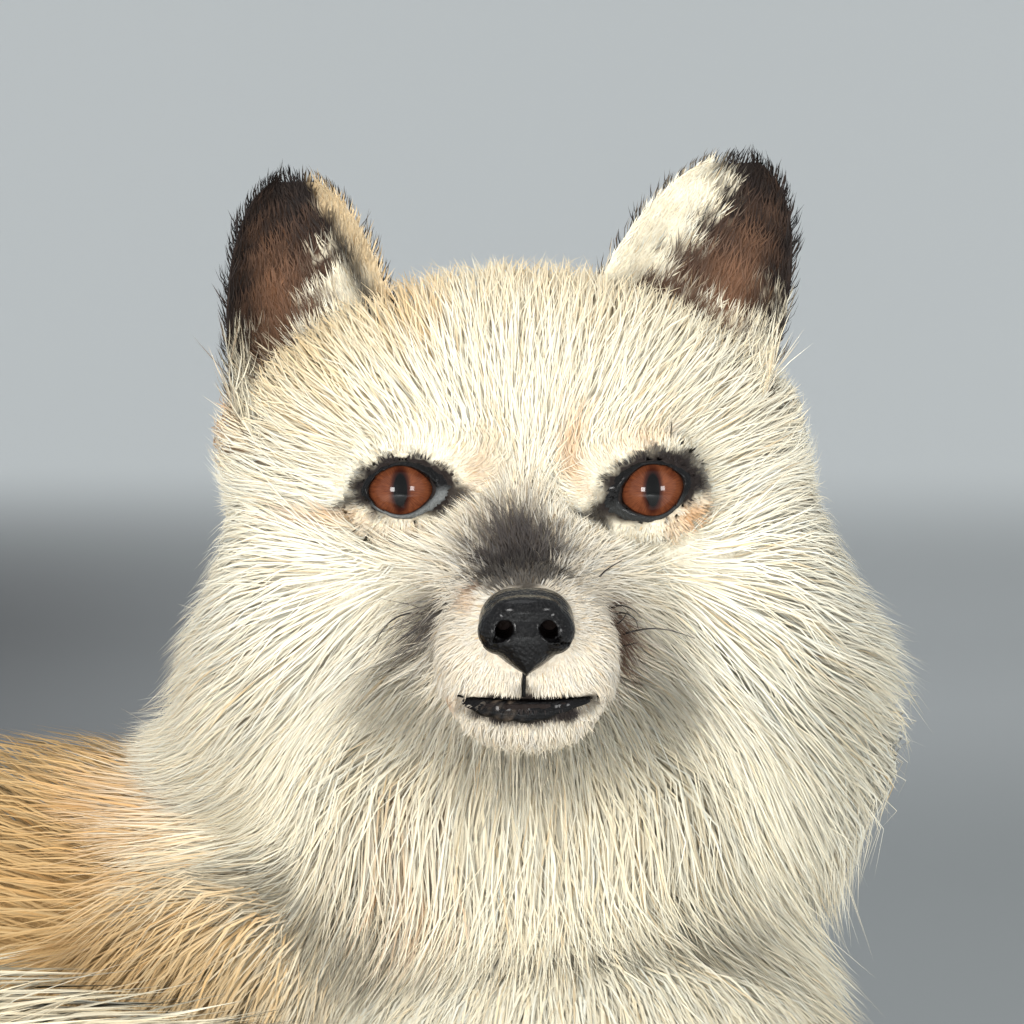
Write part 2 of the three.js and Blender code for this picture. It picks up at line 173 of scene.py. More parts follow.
def tapered(stations: Sequence[Sequence[float]], p: Array) -> Iterator[tuple[Array, Array]]:
    """The stretches between stations of x, y, z and radius.

    Args:
        stations: In order.
        p: Points.

    Yields:
        Each stretch's direction and the points' distances from its surface.
    """
    for a, b in zip(stations, stations[1:]):
        start, run = np.array(a[:3]), np.array(b[:3]) - np.array(a[:3])
        t = np.clip(((p - start) @ run) / (run @ run), 0.0, 1.0)
        away = np.linalg.norm(p - start - t[..., None] * run, axis=-1)
        yield run, away - (a[3] + (b[3] - a[3]) * t)


def limb(stations: Sequence[Sequence[float]]) -> Field:
    """A tube's field, through stations of x, y, z and radius."""
    return lambda p: np.min([away for _, away in tapered(stations, p)], axis=0)


def melt(blend: float, *parts: Array) -> Array:
    """Joins sampled fields with a rounded fillet.

    Args:
        blend: About the fillet's size.
        *parts: The fields' values at the same points.

    Returns:
        The joined values.
    """
    joined = parts[0]
    for nxt in parts[1:]:
        h = np.clip(0.5 + (nxt - joined) / (2.0 * blend), 0.0, 1.0)
        joined = nxt + (joined - nxt) * h - blend * h * (1.0 - h)
    return joined


@dataclass(frozen=True)
class Form:
    """One ellipsoid of the body, at the outline of its coat.

    Attributes:
        centre: Its middle.
        radii: Its half axes at the hair tips.
        depth: The coat's depth on it.
        turn: Radians about the vertical.
    """

    centre: Triple
    radii: Triple
    depth: float
    turn: float = 0.0

    def at(self, level: float) -> Field:
        """The form's field at a level of the coat, from 0 at the skin to 1 at the tips."""
        bare = (1.0 - level) * self.depth
        return ball(self.centre, tuple(r - bare for r in self.radii), self.turn)


@dataclass(frozen=True)
class Tube:
    """A limb of the body, at the outline of its coat.

    Attributes:
        stations: Rows of x, y, z, radius at the hair tips and coat depth.
    """

    stations: tuple[tuple[float, float, float, float, float], ...]

    def at(self, level: float) -> Field:
        """The tube's field at a level of the coat, from 0 at the skin to 1 at the tips."""
        return limb([(x, y, z, r - (1.0 - level) * d) for x, y, z, r, d in self.stations])

    def run(self, p: Array) -> Array:
        """The direction of the nearest stretch of the tube at each point, as unit rows."""
        best = np.full(p.shape[:-1], FAR)
        heading = np.zeros_like(p)
        for run, away in tapered(self.stations, p):
            nearer = away < best
            best = np.where(nearer, away, best)
            heading[nearer] = run / np.linalg.norm(run)
        return heading


# ------------------ the fox's forms


@dataclass(frozen=True)
class Hair:
    """How the hair grows on one part of the body.

    Attributes:
        length: Of a tuft.
        width: Of a tuft at its middle.
        clump: How far tips gather into locks, from 0 to 1.
        stray: How far a tuft's heading strays, in radians.
    """

    length: float
    width: float
    clump: float = 0.5
    stray: float = 0.12


@dataclass(frozen=True)
class Paw:
    """A paw at the end of a leg.

    Attributes:
        wrist: x, y, z and radius of the leg's last station.
        heading: Degrees from +X.
        depth: The coat's depth.
        toes: How many.
    """

    wrist: tuple[float, float, float, float]
    heading: float
    depth: float = 2.6
    toes: int = 4

    def place(self, forward: float, sideways: float, up: float) -> Triple:
        """A point of the paw from its wrist: along the heading, across it and above the ground."""
        angle = math.radians(self.heading)
        x = self.wrist[0] + forward * math.cos(angle) - sideways * math.sin(angle)
        y = self.wrist[1] + forward * math.sin(angle) + sideways * math.cos(angle)
        return (x, y, up)

    def toe_middles(self) -> list[tuple[Triple, float]]:
        """Each toe's middle, with how far it stands from the paw's middle line."""
        found = []
        for index in range(self.toes):
            across = index - (self.toes - 1) / 2
            found.append((self.place(46.0 - 2.6 * across * across, across * 11.0, 12.0), across))
        return found

    def at(self, level: float) -> Field:
        """The paw's field at a level of the coat."""
        bare = (1.0 - level) * self.depth
        angle = math.radians(self.heading)
        x, y, z, r = self.wrist
        fields = [
            limb([(x, y, z, r - bare * 2.0), (*self.place(22.0, 0.0, 19.0), 20.0 - bare)]),
            ball(self.place(26.0, 0.0, 15.0), (26.0 - bare, 23.0 - bare, 18.0 - bare), angle),
        ]
        fields += [
            ball(middle, (17.0 - bare, 8.6 - bare * 0.8, 12.5 - bare), angle)
            for middle, _ in self.toe_middles()
        ]
        return lambda p: melt(3.0 + level, *(f(p) for f in fields))


def sampled(forms: Sequence[Form | Tube | Paw], level: float, p: Array) -> list[Array]:
    """Each form's field at a level of the coat, at some points."""
    return [form.at(level)(p) for form in forms]


class Part(Enum):
    """The parts of the body that differ in their coat."""

    MUZZLE = Hair(5.6, 0.31, 0.12, 0.2)
    BROW = Hair(12.0, 0.37, 0.2, 0.18)
    SKULL = Hair(20.0, 0.45, 0.25, 0.18)
    CHEEK = Hair(27.0, 0.50, 0.35, 0.16)
    RUFF = Hair(48.0, 0.68, 0.45, 0.17)
    NECK = Hair(56.0, 0.76, 0.45, 0.14)
    TRUNK = Hair(42.0, 0.85, 0.4, 0.14)
    ARM = Hair(40.0, 0.85, 0.4, 0.16)
    THIGH = Hair(40.0, 1.1, 0.4, 0.16)
    LEG = Hair(15.0, 0.8, 0.3, 0.16)
    PAW = Hair(7.5, 0.6, 0.2, 0.14)
    TAIL = Hair(56.0, 1.2, 0.15, 0.16)


class Anatomy:
    """Every form of the fox, with the skin, the coat's levels and the lie of the hair."""

    def __init__(self) -> None:
        """Lays out the forms, in the head's frame where they belong to the head."""
        self.skull = [
            Form((-2, 48, 9), (65, 54, 46), 10.0),
            Form((-49, 52, 12), (25, 26, 24), 7.0),
            Form((45, 52, 12), (22, 26, 24), 7.0),
        ]
        self.brow = [Form((0, 15, 5), (37, 25, 23), 5.0)]
        self.cheeks = [Form((-35.5, 36, -22), (36, 42, 34), 11.0), Form((37, 36, -22), (36, 42, 34), 11.0)]
        self.ruff = [Form((-44.5, 56, -46), (37, 38, 34), 24.0), Form((53, 54, -50), (40, 38, 33), 24.0)]
        self.bridge = Tube(((0, 12, -22, 29, 4.5), (0, -20, -30, 22, 3.0), (0, -45, -34, 18, 2.4)))
        self.lips = [
            Form((-9, -50, -35), (10, 12, 10), 2.2),
            Form((9, -50, -35), (10, 12, 10), 2.2),
            Form((0, -45, -44.5), (17.5, 14, 10.5), 2.2),
            Form((0, -50, -26), (9.5, 11, 8), 1.6),
        ]
        self.neck = [
            Form((2, 50, 192), (70, 62, 60), 28.0),
            Form((0, 13, 172), (56, 47, 42), 26.0),
            Form((13, 50, 164), (66, 56, 36), 28.0),
            Form((-2, 44, 136), (75, 66, 78), 32.0),
            Form((-42, 72, 160), (50, 50, 42), 26.0),
        ]
        self.trunk = Tube(
            (
                (8, 24, 84, 80, 28),
                (-62, 80, 88, 95, 25),
                (-150, 118, 84, 91, 24),
                (-235, 108, 80, 88, 24),
                (-300, 58, 78, 84, 24),
                (-325, 5, 70, 66, 24),
            )
        )
        self.arms = [Form((-64, 16, 104), (44, 44, 56), 20.0), Form((42, 30, 82), (34, 46, 52), 20.0)]
        self.thighs = [
            Form((-252, -2, 78), (72, 48, 74), 20.0, 0.12),
            Form((-246, 160, 74), (70, 48, 70), 20.0, -0.1),
        ]
        self.legs = [
            Tube(((-48, -4, 36, 35, 12), (-12, -52, 31, 29, 8), (24, -104, 25, 23, 5))),
            Tube(((60, 6, 36, 34, 12), (82, -42, 31, 28, 8), (104, -92, 25, 23, 5))),
            Tube(((-292, -54, 38, 32, 11), (-222, -88, 26, 25, 7), (-158, -104, 22, 21, 5))),
            Tube(((-312, 170, 36, 30, 10), (-256, 200, 26, 24, 7), (-206, 206, 23, 22, 5))),
        ]
        headings = (-57.0, -62.0, -8.0, 2.0)
        self.paws = [Paw(leg.stations[-1][:4], turn) for leg, turn in zip(self.legs, headings)]
        self.tail = Tube(
            (
                (-332, -16, 60, 42, 18),
                (-338, -76, 56, 48, 24),
                (-296, -123, 63, 56, 32),
                (-214, -137, 77, 68, 38),
                (-128, -133, 92, 72, 40),
                (-66, -130, 86, 61, 34),
                (-22, -134, 62, 40, 24),
                (8, -142, 44, 16, 9),
            )
        )

    def head(self, q: Array, level: float) -> dict[Part, Array]:
        """The head's fields by part.

        Args:
            q: Points in the head's frame.
            level: From 0 at the skin to 1 at the tips.

        Returns:
            Each part's joined values.
        """

        groups = {Part.SKULL: self.skull, Part.BROW: self.brow, Part.CHEEK: self.cheeks, Part.RUFF: self.ruff}
        round_forms = {part: melt(6.0, *sampled(forms, level, q)) for part, forms in groups.items()}
        return round_forms | {Part.MUZZLE: melt(8.0, *sampled([self.bridge, *self.lips], level, q))}

    def body(self, p: Array, level: float) -> dict[Part, Array]:
        """The fields of everything below the head, by part.

        Args:
            p: Points in the fox's frame.
            level: From 0 at the skin to 1 at the tips.

        Returns:
            Each part's joined values.
        """

        groups = {Part.ARM: self.arms, Part.THIGH: self.thighs, Part.LEG: self.legs, Part.PAW: self.paws}
        limbs = {part: np.min(sampled(forms, level, p), axis=0) for part, forms in groups.items()}
        neck, trunk = melt(14.0, *sampled(self.neck, level, p)), self.trunk.at(level)(p)
        return {Part.NECK: neck, Part.TRUNK: trunk} | limbs | {Part.TAIL: self.tail.at(level)(p)}

    def parts(self, p: Array, level: float) -> dict[Part, Array]:
        """Every part's field at a level of the coat, at points in the fox's frame."""
        return self.head(to_head(p), level) | self.body(p, level)

    def joined(self, p: Array, level: float) -> Array:
        """The whole body's field at a level of the coat.

        Args:
            p: Points in the fox's frame.
            level: From 0 at the skin to 1 at the tips.

        Returns:
            The signed distances.
        """
        parts = self.parts(p, level)
        skull = melt(12.0, parts[Part.SKULL], parts[Part.BROW], parts[Part.CHEEK])
        head = melt(9.0, melt(14.0, skull, parts[Part.RUFF]), parts[Part.MUZZLE])
        body = melt(16.0, melt(20.0, parts[Part.NECK], head), parts[Part.TRUNK])
        body = melt(16.0, body, parts[Part.ARM], parts[Part.THIGH])
        legs = melt(6.0, parts[Part.LEG], parts[Part.PAW])
        whole = melt(6.0, body, legs, parts[Part.TAIL])
        return np.maximum(whole, GROUND_CLEARANCE * (1.0 - level) - p[..., 2])

    def flow(self, p: Array) -> Array:
        """The lie of the hair: which way it points at each place, before it is laid on the skin.

        Args:
            p: Points in the fox's frame.

        Returns:
            Unit rows.
        """
        q = to_head(p)
        sideways = q[..., 0]
        low = smooth(5.0, -45.0, q[..., 2])
        outward = q - np.array([0.0, -78.0, -30.0])
        outward[..., 2] -= low * (18.0 + 0.35 * np.abs(sideways))
        outward[..., 0] += low * 0.25 * sideways
        face = turned_from_head(unit(outward))
        front = smooth(60.0, 10.0, p[..., 1])
        down = np.zeros_like(p)
        down[..., 0] = 0.22 * p[..., 0] / 80.0
        down[..., 1] = -0.18
        down[..., 2] = -1.0
        nape = unit(np.array([-65.0, 34.0, -90.0]))
        neck = unit(front[..., None] * down + (1.0 - front[..., None]) * nape)
        trunk = self.trunk.run(p)
        trunk[..., 2] -= 0.22 + 0.5 * smooth(95.0, 40.0, p[..., 2])
        chest = (smooth(-115.0, -55.0, p[..., 0]) * smooth(80.0, 35.0, p[..., 1]))[..., None]
        trunk = unit(trunk) * (1.0 - chest) + neck * chest
        arm = unit(np.where(p[..., :1] < 0.0, [-0.5, -0.25, -0.8], [0.25, -0.3, -0.9]))
        thigh = unit(np.where(p[..., 1:2] < 70.0, [-0.55, -0.25, -0.7], [-0.6, 0.3, -0.65]))
        leg = self.nearest_run(p, self.legs)
        headings = dict.fromkeys((Part.SKULL, Part.BROW, Part.CHEEK, Part.MUZZLE, Part.RUFF), face)
        headings |= {Part.NECK: neck, Part.TRUNK: unit(trunk), Part.ARM: arm, Part.THIGH: thigh}
        headings |= {Part.LEG: leg, Part.PAW: leg, Part.TAIL: self.tail.run(p)}
        total = np.zeros_like(p)
        for part, weight in self.weights(p).items():
            total += weight[..., None] * headings[part]
        return unit(total)

    def nearest_run(self, p: Array, tubes: Sequence[Tube]) -> Array:
        """The heading of whichever tube is nearest to each point, as unit rows."""
        reach = np.stack(sampled(tubes, 1.0, p))
        runs = np.stack([tube.run(p) for tube in tubes])
        return np.take_along_axis(runs, reach.argmin(axis=0)[None, ..., None], axis=0)[0]

    def weights(self, p: Array, softness: float = 9.0) -> dict[Part, Array]:
        """How much each part counts at each point, adding up to 1.

        Args:
            p: Points in the fox's frame.
            softness: How far two parts run into each other.

        Returns:
            Each part's share.
        """
        parts = self.parts(p, 1.0)
        nearest = np.min(list(parts.values()), axis=0)
        shares = {part: np.exp(-np.minimum(d - nearest, 200.0) / softness) for part, d in parts.items()}
        total = sum(shares.values())
        return {part: share / total for part, share in shares.items()}


# ------------------ meshing


def netted(shape: Field, axes: Sequence[Array]) -> tuple[Array, Array]:
    """Nets a field's surface on a grid of uneven lines.

    Args:
        shape: The field, negative inside. It is positive all round the grid's border.
        axes: The grid's lines along x, y and z.

    Returns:
        One vertex for each cell that the surface crosses, and quads facing outwards.
    """
    sizes = [len(line) for line in axes]
    values = np.empty(sizes, np.float32)
    for i, x in enumerate(axes[0]):
        y, z = np.meshgrid(axes[1], axes[2], indexing="ij")
        values[i] = shape(columns(np.full_like(y, x), y, z))
    inside = values < 0.0
    cells, places, edges = [], [], []
    for axis in range(3):
        others = [k for k in range(3) if k != axis]
        here = [slice(None)] * 3
        there = [slice(None)] * 3
        here[axis], there[axis] = slice(None, -1), slice(1, None)
        found = np.argwhere(inside[tuple(here)] != inside[tuple(there)])
        for k in others:
            found = found[(found[:, k] > 0) & (found[:, k] < sizes[k] - 1)]
        ahead = found.copy()
        ahead[:, axis] += 1
        a, b = values[tuple(found.T)], values[tuple(ahead.T)]
        place = np.stack([axes[k][found[:, k]] for k in range(3)], axis=-1)
        place[:, axis] += a / (a - b) * (axes[axis][ahead[:, axis]] - axes[axis][found[:, axis]])
        side, other = (axis + 1) % 3, (axis + 2) % 3
        corners = []
        for back_side, back_other in ((0, 0), (1, 0), (1, 1), (0, 1)):
            cell = found.copy()
            cell[:, side] -= back_side
            cell[:, other] -= back_other
            corners.append(np.ravel_multi_index(tuple(cell.T), sizes))
            cells.append(corners[-1])
            places.append(place)
        quad = np.stack(corners, axis=-1)
        quad[a >= 0.0] = quad[a >= 0.0][:, ::-1]
        edges.append(quad)
    names, owner = np.unique(np.concatenate(cells), return_inverse=True)
    place = np.concatenate(places)
    count = np.bincount(owner)
    points = np.stack([np.bincount(owner, place[:, k]) / count for k in range(3)], axis=-1)
    return points, np.searchsorted(names, np.concatenate(edges))


def slope(shape: Field, p: Array, probe: float = 0.4) -> Array:
    """A field's gradient by central differences, as rows."""
    steps = np.eye(3) * probe
    return np.stack([shape(p + s) - shape(p - s) for s in steps], axis=-1) / (2.0 * probe)


def settled(shape: Field, p: Array, limit: float, rounds: int = 2) -> Array:
    """Moves points onto a field's surface.

    Args:
        shape: The field.
        p: Rows near its surface.
        limit: The longest step.
        rounds: How many steps are taken.

    Returns:
        The moved rows.
    """
    for _ in range(rounds):
        gradient = slope(shape, p)
        steep = np.maximum(np.linalg.norm(gradient, axis=-1), 0.4)
        step = np.clip(shape(p) / steep, -limit, limit)
        p = p - gradient / steep[:, None] * step[:, None]
    return p


def triangles(quads: Array) -> Array:
    """Quads as pairs of triangles."""
    return np.concatenate([quads[:, [0, 1, 2]], quads[:, [0, 2, 3]]])


def lines(*stretches: tuple[float, float, float]) -> Array:
    """Grid lines in stretches of start, end and spacing, each running on from the last."""
    return np.unique(np.concatenate([np.arange(a, b + 1e-6, step) for a, b, step in stretches]))


def loft(rings: Array, capped: bool = True) -> tuple[Array, list[tuple[int, ...]]]:
    """A closed skin over a row of rings.

    Args:
        rings: Points as ring, place round the ring, x y z.
        capped: Whether the ends are closed, or else the last ring joins the first.

    Returns:
        The points in one list, and the faces.
    """
    count, around = rings.shape[:2]
    faces: list[tuple[int, ...]] = []
    for i in range(count - 1 if capped else count):
        j = (i + 1) % count
        for k in range(around):
            m = (k + 1) % around
            faces.append((i * around + k, i * around + m, j * around + m, j * around + k))
    if capped:
        faces.append(tuple(reversed(range(around))))
        faces.append(tuple(range((count - 1) * around, count * around)))
    return rings.reshape(-1, 3), faces


def linked(name: str, data: bpy.types.ID) -> bpy.types.Object:
    """A new object for some data, linked to the scene."""
    item = bpy.data.objects.new(name, data)
    bpy.context.scene.collection.objects.link(item)
    return item


def outward(made: bpy.types.Mesh) -> None:
    """Turns a closed mesh's faces outwards."""
    import bmesh

    work = bmesh.new()
    work.from_mesh(made)
    bmesh.ops.recalc_face_normals(work, faces=work.faces)
    work.to_mesh(made)
    work.free()


@dataclass
class Workshop:
    """Makes mesh objects in the model's frame and reports them.

    Attributes:
        placement: Carries millimetres into the model's frame.
    """

    placement: Placement

    def piece(
        self,
        name: str,
        points: Array,
        faces: Array | list[tuple[int, ...]],
        material: bpy.types.Material,
        slot: str,
        replaces: Sequence[str] = (),
    ) -> bpy.types.Object:
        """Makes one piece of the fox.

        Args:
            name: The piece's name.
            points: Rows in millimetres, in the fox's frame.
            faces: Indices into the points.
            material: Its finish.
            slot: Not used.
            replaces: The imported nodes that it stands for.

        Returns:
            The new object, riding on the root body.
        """
        made = bpy.data.meshes.new(name)
        if isinstance(faces, np.ndarray):
            self.fill(made, self.placement.metres(points), faces)
        else:
            made.from_pydata(self.placement.metres(points).tolist(), [], faces)
            outward(made)
        made.shade_smooth()
        made.materials.append(material)
        return self.adopt(linked(name, made), replaces)

    def adopt(self, item: bpy.types.Object, replaces: Sequence[str] = ()) -> bpy.types.Object:
        """Lets a finished object ride on the fox and reports it.

        Args:
            item: The object.
            replaces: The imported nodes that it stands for.

        Returns:
            The same object.
        """
        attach(item, "root")
        if replaces:
            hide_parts(*replaces)
        LOG.info("%s: %d vertices, %d faces", item.name, len(item.data.vertices), len(item.data.polygons))
        return item

    @staticmethod
    def mark(item: bpy.types.Object, name: str, vectors: Array) -> None:
        """Gives a piece a vector for each vertex, for its material to read."""
        layer = item.data.attributes.new(name, "FLOAT_VECTOR", "POINT")
        layer.data.foreach_set("vector", vectors.astype(np.float32).ravel())

    @staticmethod
    def fill(made: bpy.types.Mesh, points: Array, faces: Array) -> None:
        """Fills an empty mesh from arrays.

        Args:
            made: The mesh.
            points: Its vertices, in metres.
            faces: Its faces, all with the same number of corners.
        """
        sides = faces.shape[1]
        made.vertices.add(len(points))
        made.vertices.foreach_set("co", points.astype(np.float32).ravel())
        made.loops.add(faces.size)
        made.loops.foreach_set("vertex_index", faces.astype(np.int32).ravel())
        made.polygons.add(len(faces))
        made.polygons.foreach_set("loop_start", np.arange(0, faces.size, sides, dtype=np.int32))
        made.update(calc_edges=True)

    @staticmethod
    def paint(item: bpy.types.Object, colours: Array) -> None:
        """Gives a piece its tint, a row of linear red, green and blue for each vertex."""
        rows = np.concatenate([colours, np.ones((len(colours), 1))], axis=1).astype(np.float32)
        layer = item.data.color_attributes.new("tint", "FLOAT_COLOR", "POINT")
        layer.data.foreach_set("color", rows.ravel())


# ------------------ shader writing


def linear(red: int, green: int, blue: int) -> Array:
    """A display colour of 0 to 255 as linear light."""
    c = np.array([red, green, blue]) / 255.0
    return np.where(c <= 0.04045, c / 12.92, ((c + 0.055) / 1.055) ** 2.4)


class Val:
    """A number socket that takes part in plain arithmetic, adding Math nodes as it goes."""

    def __init__(self, nodes: "Nodes", socket: bpy.types.NodeSocket) -> None:
        """Wraps a socket of a tree."""
        self.nodes = nodes
        self.socket = socket

    def math(self, operation: str, *values: "Val | float") -> "Val":
        """One Math node on this value and others."""
        return self.nodes.math(operation, self, *values)

    def __add__(self, other: "Val | float") -> "Val":
        """The sum."""
        return self.math("ADD", other)

    def __mul__(self, other: "Val | float") -> "Val":
        """The product."""
        return self.math("MULTIPLY", other)

    def __rsub__(self, other: float) -> "Val":
        """The difference from a number."""
        return self.nodes.math("SUBTRACT", other, self)

    def __truediv__(self, other: "Val | float") -> "Val":
        """The quotient."""
        return self.math("DIVIDE", other)

    def __pow__(self, other: "Val | float") -> "Val":
        """The power."""
        return self.math("POWER", other)

    def ramp(self, low: float, high: float) -> "Val":
        """A smooth step from 0 at ``low`` to 1 at ``high``."""
        node = self.nodes.node(
            "ShaderNodeMapRange",
            {"interpolation_type": "SMOOTHSTEP"},
            {"Value": self.socket, "From Min": low, "From Max": high},
        )
        return Val(self.nodes, node.outputs["Result"])


class Nodes:
    """A node tree and the ways in which its nodes are made."""

    tree: bpy.types.NodeTree

    def node(
        self,
        kind: str,
        settings: dict[str, object] | None = None,
        values: dict[str | int, object] | None = None,
    ) -> bpy.types.Node:
        """Makes any node.

        Args:
            kind: The node's type.
            settings: Its own settings, set first.
            values: A value or a link for each named or numbered socket.

        Returns:
            The node.
        """
        made = self.tree.nodes.new(kind)
        for key, value in (settings or {}).items():
            setattr(made, key, value)
        for key, value in (values or {}).items():
            if isinstance(value, Val):
                value = value.socket
            if isinstance(value, bpy.types.NodeSocket):
                self.tree.links.new(value, made.inputs[key])
            else:
                made.inputs[key].default_value = value
        return made

    def math(self, operation: str, *values: Val | float) -> Val:
        """One Math node on some operands."""
        made = self.node("ShaderNodeMath", {"operation": operation}, dict(enumerate(values)))
        return Val(self, made.outputs[0])


class Shader(Nodes):
    """One material and what its surface is made of."""

    def __init__(self, name: str) -> None:
        """Starts a material with only a Principled shader and its output."""
        self.material = bpy.data.materials.new(name)
        self.material.use_nodes = True
        self.tree = self.material.node_tree
        self.tree.nodes.clear()
        self.surface = self.node("ShaderNodeBsdfPrincipled")
        output = self.node("ShaderNodeOutputMaterial")
        self.tree.links.new(self.surface.outputs["BSDF"], output.inputs["Surface"])

    def noise(
        self, scale: float, detail: float = 3.0, where: bpy.types.NodeSocket | None = None, rough: float = 0.5
    ) -> Val:
        """Noise over the piece, by default on its Object coordinates in metres."""
        values = {"Vector": where or self.place(), "Scale": scale, "Detail": detail, "Roughness": rough}
        return Val(self, self.node("ShaderNodeTexNoise", None, values).outputs["Fac"])

    def place(self) -> bpy.types.NodeSocket:
        """The Object coordinates."""
        return self.node("ShaderNodeTexCoord").outputs["Object"]

    def attribute(self, name: str) -> bpy.types.Node:
        """The node that reads one of the mesh's attributes."""
        return self.node("ShaderNodeAttribute", {"attribute_name": name})

    def tint(self) -> bpy.types.NodeSocket:
        """The colour painted on the piece."""
        return self.attribute("tint").outputs["Color"]

    def mix(self, factor: Val | float, a: object, b: object, blend: str = "MIX") -> bpy.types.NodeSocket:
        """Mixes two colours.

        Args:
            factor: The second colour's share.
            a: The first colour, as a value or a socket.
            b: The second colour.
            blend: The way in which they are mixed.

        Returns:
            The mixed colour's socket.
        """
        settings = {"data_type": "RGBA", "blend_type": blend}
        made = self.node("ShaderNodeMix", settings, {0: factor, 6: self.colour(a), 7: self.colour(b)})
        return made.outputs[2]

    @staticmethod
    def colour(value: object) -> object:
        """A colour for a socket: rows of three gain an alpha, and sockets stay as they are."""
        if isinstance(value, bpy.types.NodeSocket):
            return value
        return (*[float(v) for v in value], 1.0)

    def bump(self, height: Val, strength: float, distance: float) -> None:
        """Gives the surface a relief, with its share and its depth in metres."""
        values = {"Height": height, "Strength": strength, "Distance": distance}
        self.dress(Normal=self.node("ShaderNodeBump", None, values).outputs["Normal"])

    def dress(self, **values: object) -> None:
        """Sets sockets of the surface, with an underscore for each space in a socket's name."""
        for key, value in values.items():
            socket = self.surface.inputs[key.replace("_", " ")]
            if isinstance(value, Val):
                value = value.socket
            if isinstance(value, bpy.types.NodeSocket):
                self.tree.links.new(value, socket)
            else:
                socket.default_value = value


@dataclass(frozen=True)
class FurFinish:
    """Locks that take their colour from each tuft, streaked and ridged along their length as hair.

    Attributes:
        name: The material's name.
        roughness: Of the hair.
        streaks: How many hairs go round a lock.
    """

    name: str
    roughness: float = 0.6
    streaks: float = 5.0

    def made(self) -> bpy.types.Material:
        """Builds the material."""
        shader = Shader(self.name)
        strand = shader.attribute("strand").outputs["Vector"]
        spread = (self.streaks, self.streaks, 1.0)
        round_lock = shader.node("ShaderNodeVectorMath", {"operation": "MULTIPLY"}, {0: strand, 1: spread})
        hairs = shader.noise(1.0, 0.0, round_lock.outputs[0])
        shader.dress(
            Base_Color=shader.mix(hairs.ramp(0.60, 0.34) * 0.28, shader.tint(), (0.66, 0.58, 0.49), "MULTIPLY"),
            Roughness=hairs * 0.25 + (self.roughness - 0.12),
            Specular_IOR_Level=0.25,
        )
        return shader.material


@dataclass(frozen=True)
class SkinFinish:
    """The pelt between the tufts: short nap with a fine relief."""

    name: str = "pelt"

    def made(self) -> bpy.types.Material:
        """Builds the material."""
        shader = Shader(self.name)
        nap = shader.noise(1100.0, 4.0)
        shader.dress(
            Base_Color=shader.mix(nap.ramp(0.3, 0.7) * 0.5, shader.tint(), (0.62, 0.53, 0.43), "MULTIPLY"),
            Roughness=nap * 0.2 + 0.65,
            Specular_IOR_Level=0.2,
        )
        shader.bump(nap, 0.6, 0.0006)
        return shader.material


@dataclass(frozen=True)
class LeatherFinish:
    """Bare dark skin in the piece's own colours, grained and a little moist.

    Attributes:
        name: The material's name.
        grain: Cells for each metre.
        roughness: Of the surface.
        depth: The grain's relief, in metres.
        gloss: The specular level.
    """

    name: str
    grain: float
    roughness: float
    depth: float
    gloss: float

    def made(self) -> bpy.types.Material:
        """Builds the material."""
        shader = Shader(self.name)
        cells = shader.node(
            "ShaderNodeTexVoronoi",
            {"feature": "SMOOTH_F1"},
            {"Vector": shader.place(), "Scale": self.grain, "Smoothness": 0.4},
        )
        pebble = Val(shader, cells.outputs["Distance"])
        worn = shader.noise(self.grain * 0.25, 3.0)
        shader.dress(
            Base_Color=shader.mix(worn.ramp(0.5, 0.8) * 0.4, shader.tint(), (0.009, 0.0086, 0.0092)),
            Roughness=worn * 0.2 + (self.roughness - 0.08),
            Specular_IOR_Level=self.gloss,
            Coat_Weight=0.4,
            Coat_Roughness=0.12,
            Coat_IOR=1.36,
        )
        shader.bump(1.0 - pebble, 0.9, self.depth)
        return shader.material


@dataclass(frozen=True)
class EyeFinish:
    """A glass eye: an orange brown iris with fine rays round an upright slit pupil.

    Attributes:
        pupil: The pupil's half width and half height, as shares of the eyeball's radius.
        limbus: Where the iris darkens to its rim, as a share of the radius.
    """

    pupil: tuple[float, float] = (0.15, 0.37)
    limbus: float = 0.74

    def made(self) -> bpy.types.Material:
        """Builds the material."""
        shader = Shader("glass_eye")
        gaze = shader.attribute("gaze").outputs["Vector"]
        split = shader.node("ShaderNodeSeparateXYZ", None, {0: gaze})
        x, z = Val(shader, split.outputs["X"]), Val(shader, split.outputs["Z"])
        away = (x * x + z * z) ** 0.5
        wide = x / self.pupil[0]
        tall = z / self.pupil[1]
        hole = (wide * wide + tall * tall) ** 0.5
        ray = shader.node("ShaderNodeVectorMath", {"operation": "NORMALIZE"}, {0: gaze}).outputs[0]
        angle = shader.math("ARCTAN2", z, x)
        around = shader.node("ShaderNodeCombineXYZ", None, {0: angle * 4.0, 1: away * 1.2}).outputs[0]
        rays = shader.noise(4.0, 4.0, around, 0.65)
        cloud = shader.noise(3.0, 2.0, ray)
        bright, deep = linear(108, 60, 36), linear(76, 38, 24)
        iris = shader.mix(rays.ramp(0.3, 0.75), deep, bright)
        iris = shader.mix(cloud.ramp(0.4, 0.7) * 0.3, iris, linear(124, 74, 48))
        iris = shader.mix(away.ramp(self.limbus * 0.78, self.limbus), iris, (0.012, 0.005, 0.003))
        iris = shader.mix(1.0 - hole.ramp(1.05, 1.7), iris, linear(44, 18, 12))
        shader.dress(
            Base_Color=shader.mix(1.0 - hole.ramp(0.85, 1.12), iris, (0.001, 0.001, 0.001)),
            Roughness=0.35,
            Specular_IOR_Level=0.05,
            Coat_Weight=1.0,
            Coat_Roughness=0.03,
            Coat_IOR=1.31,
        )
        return shader.material


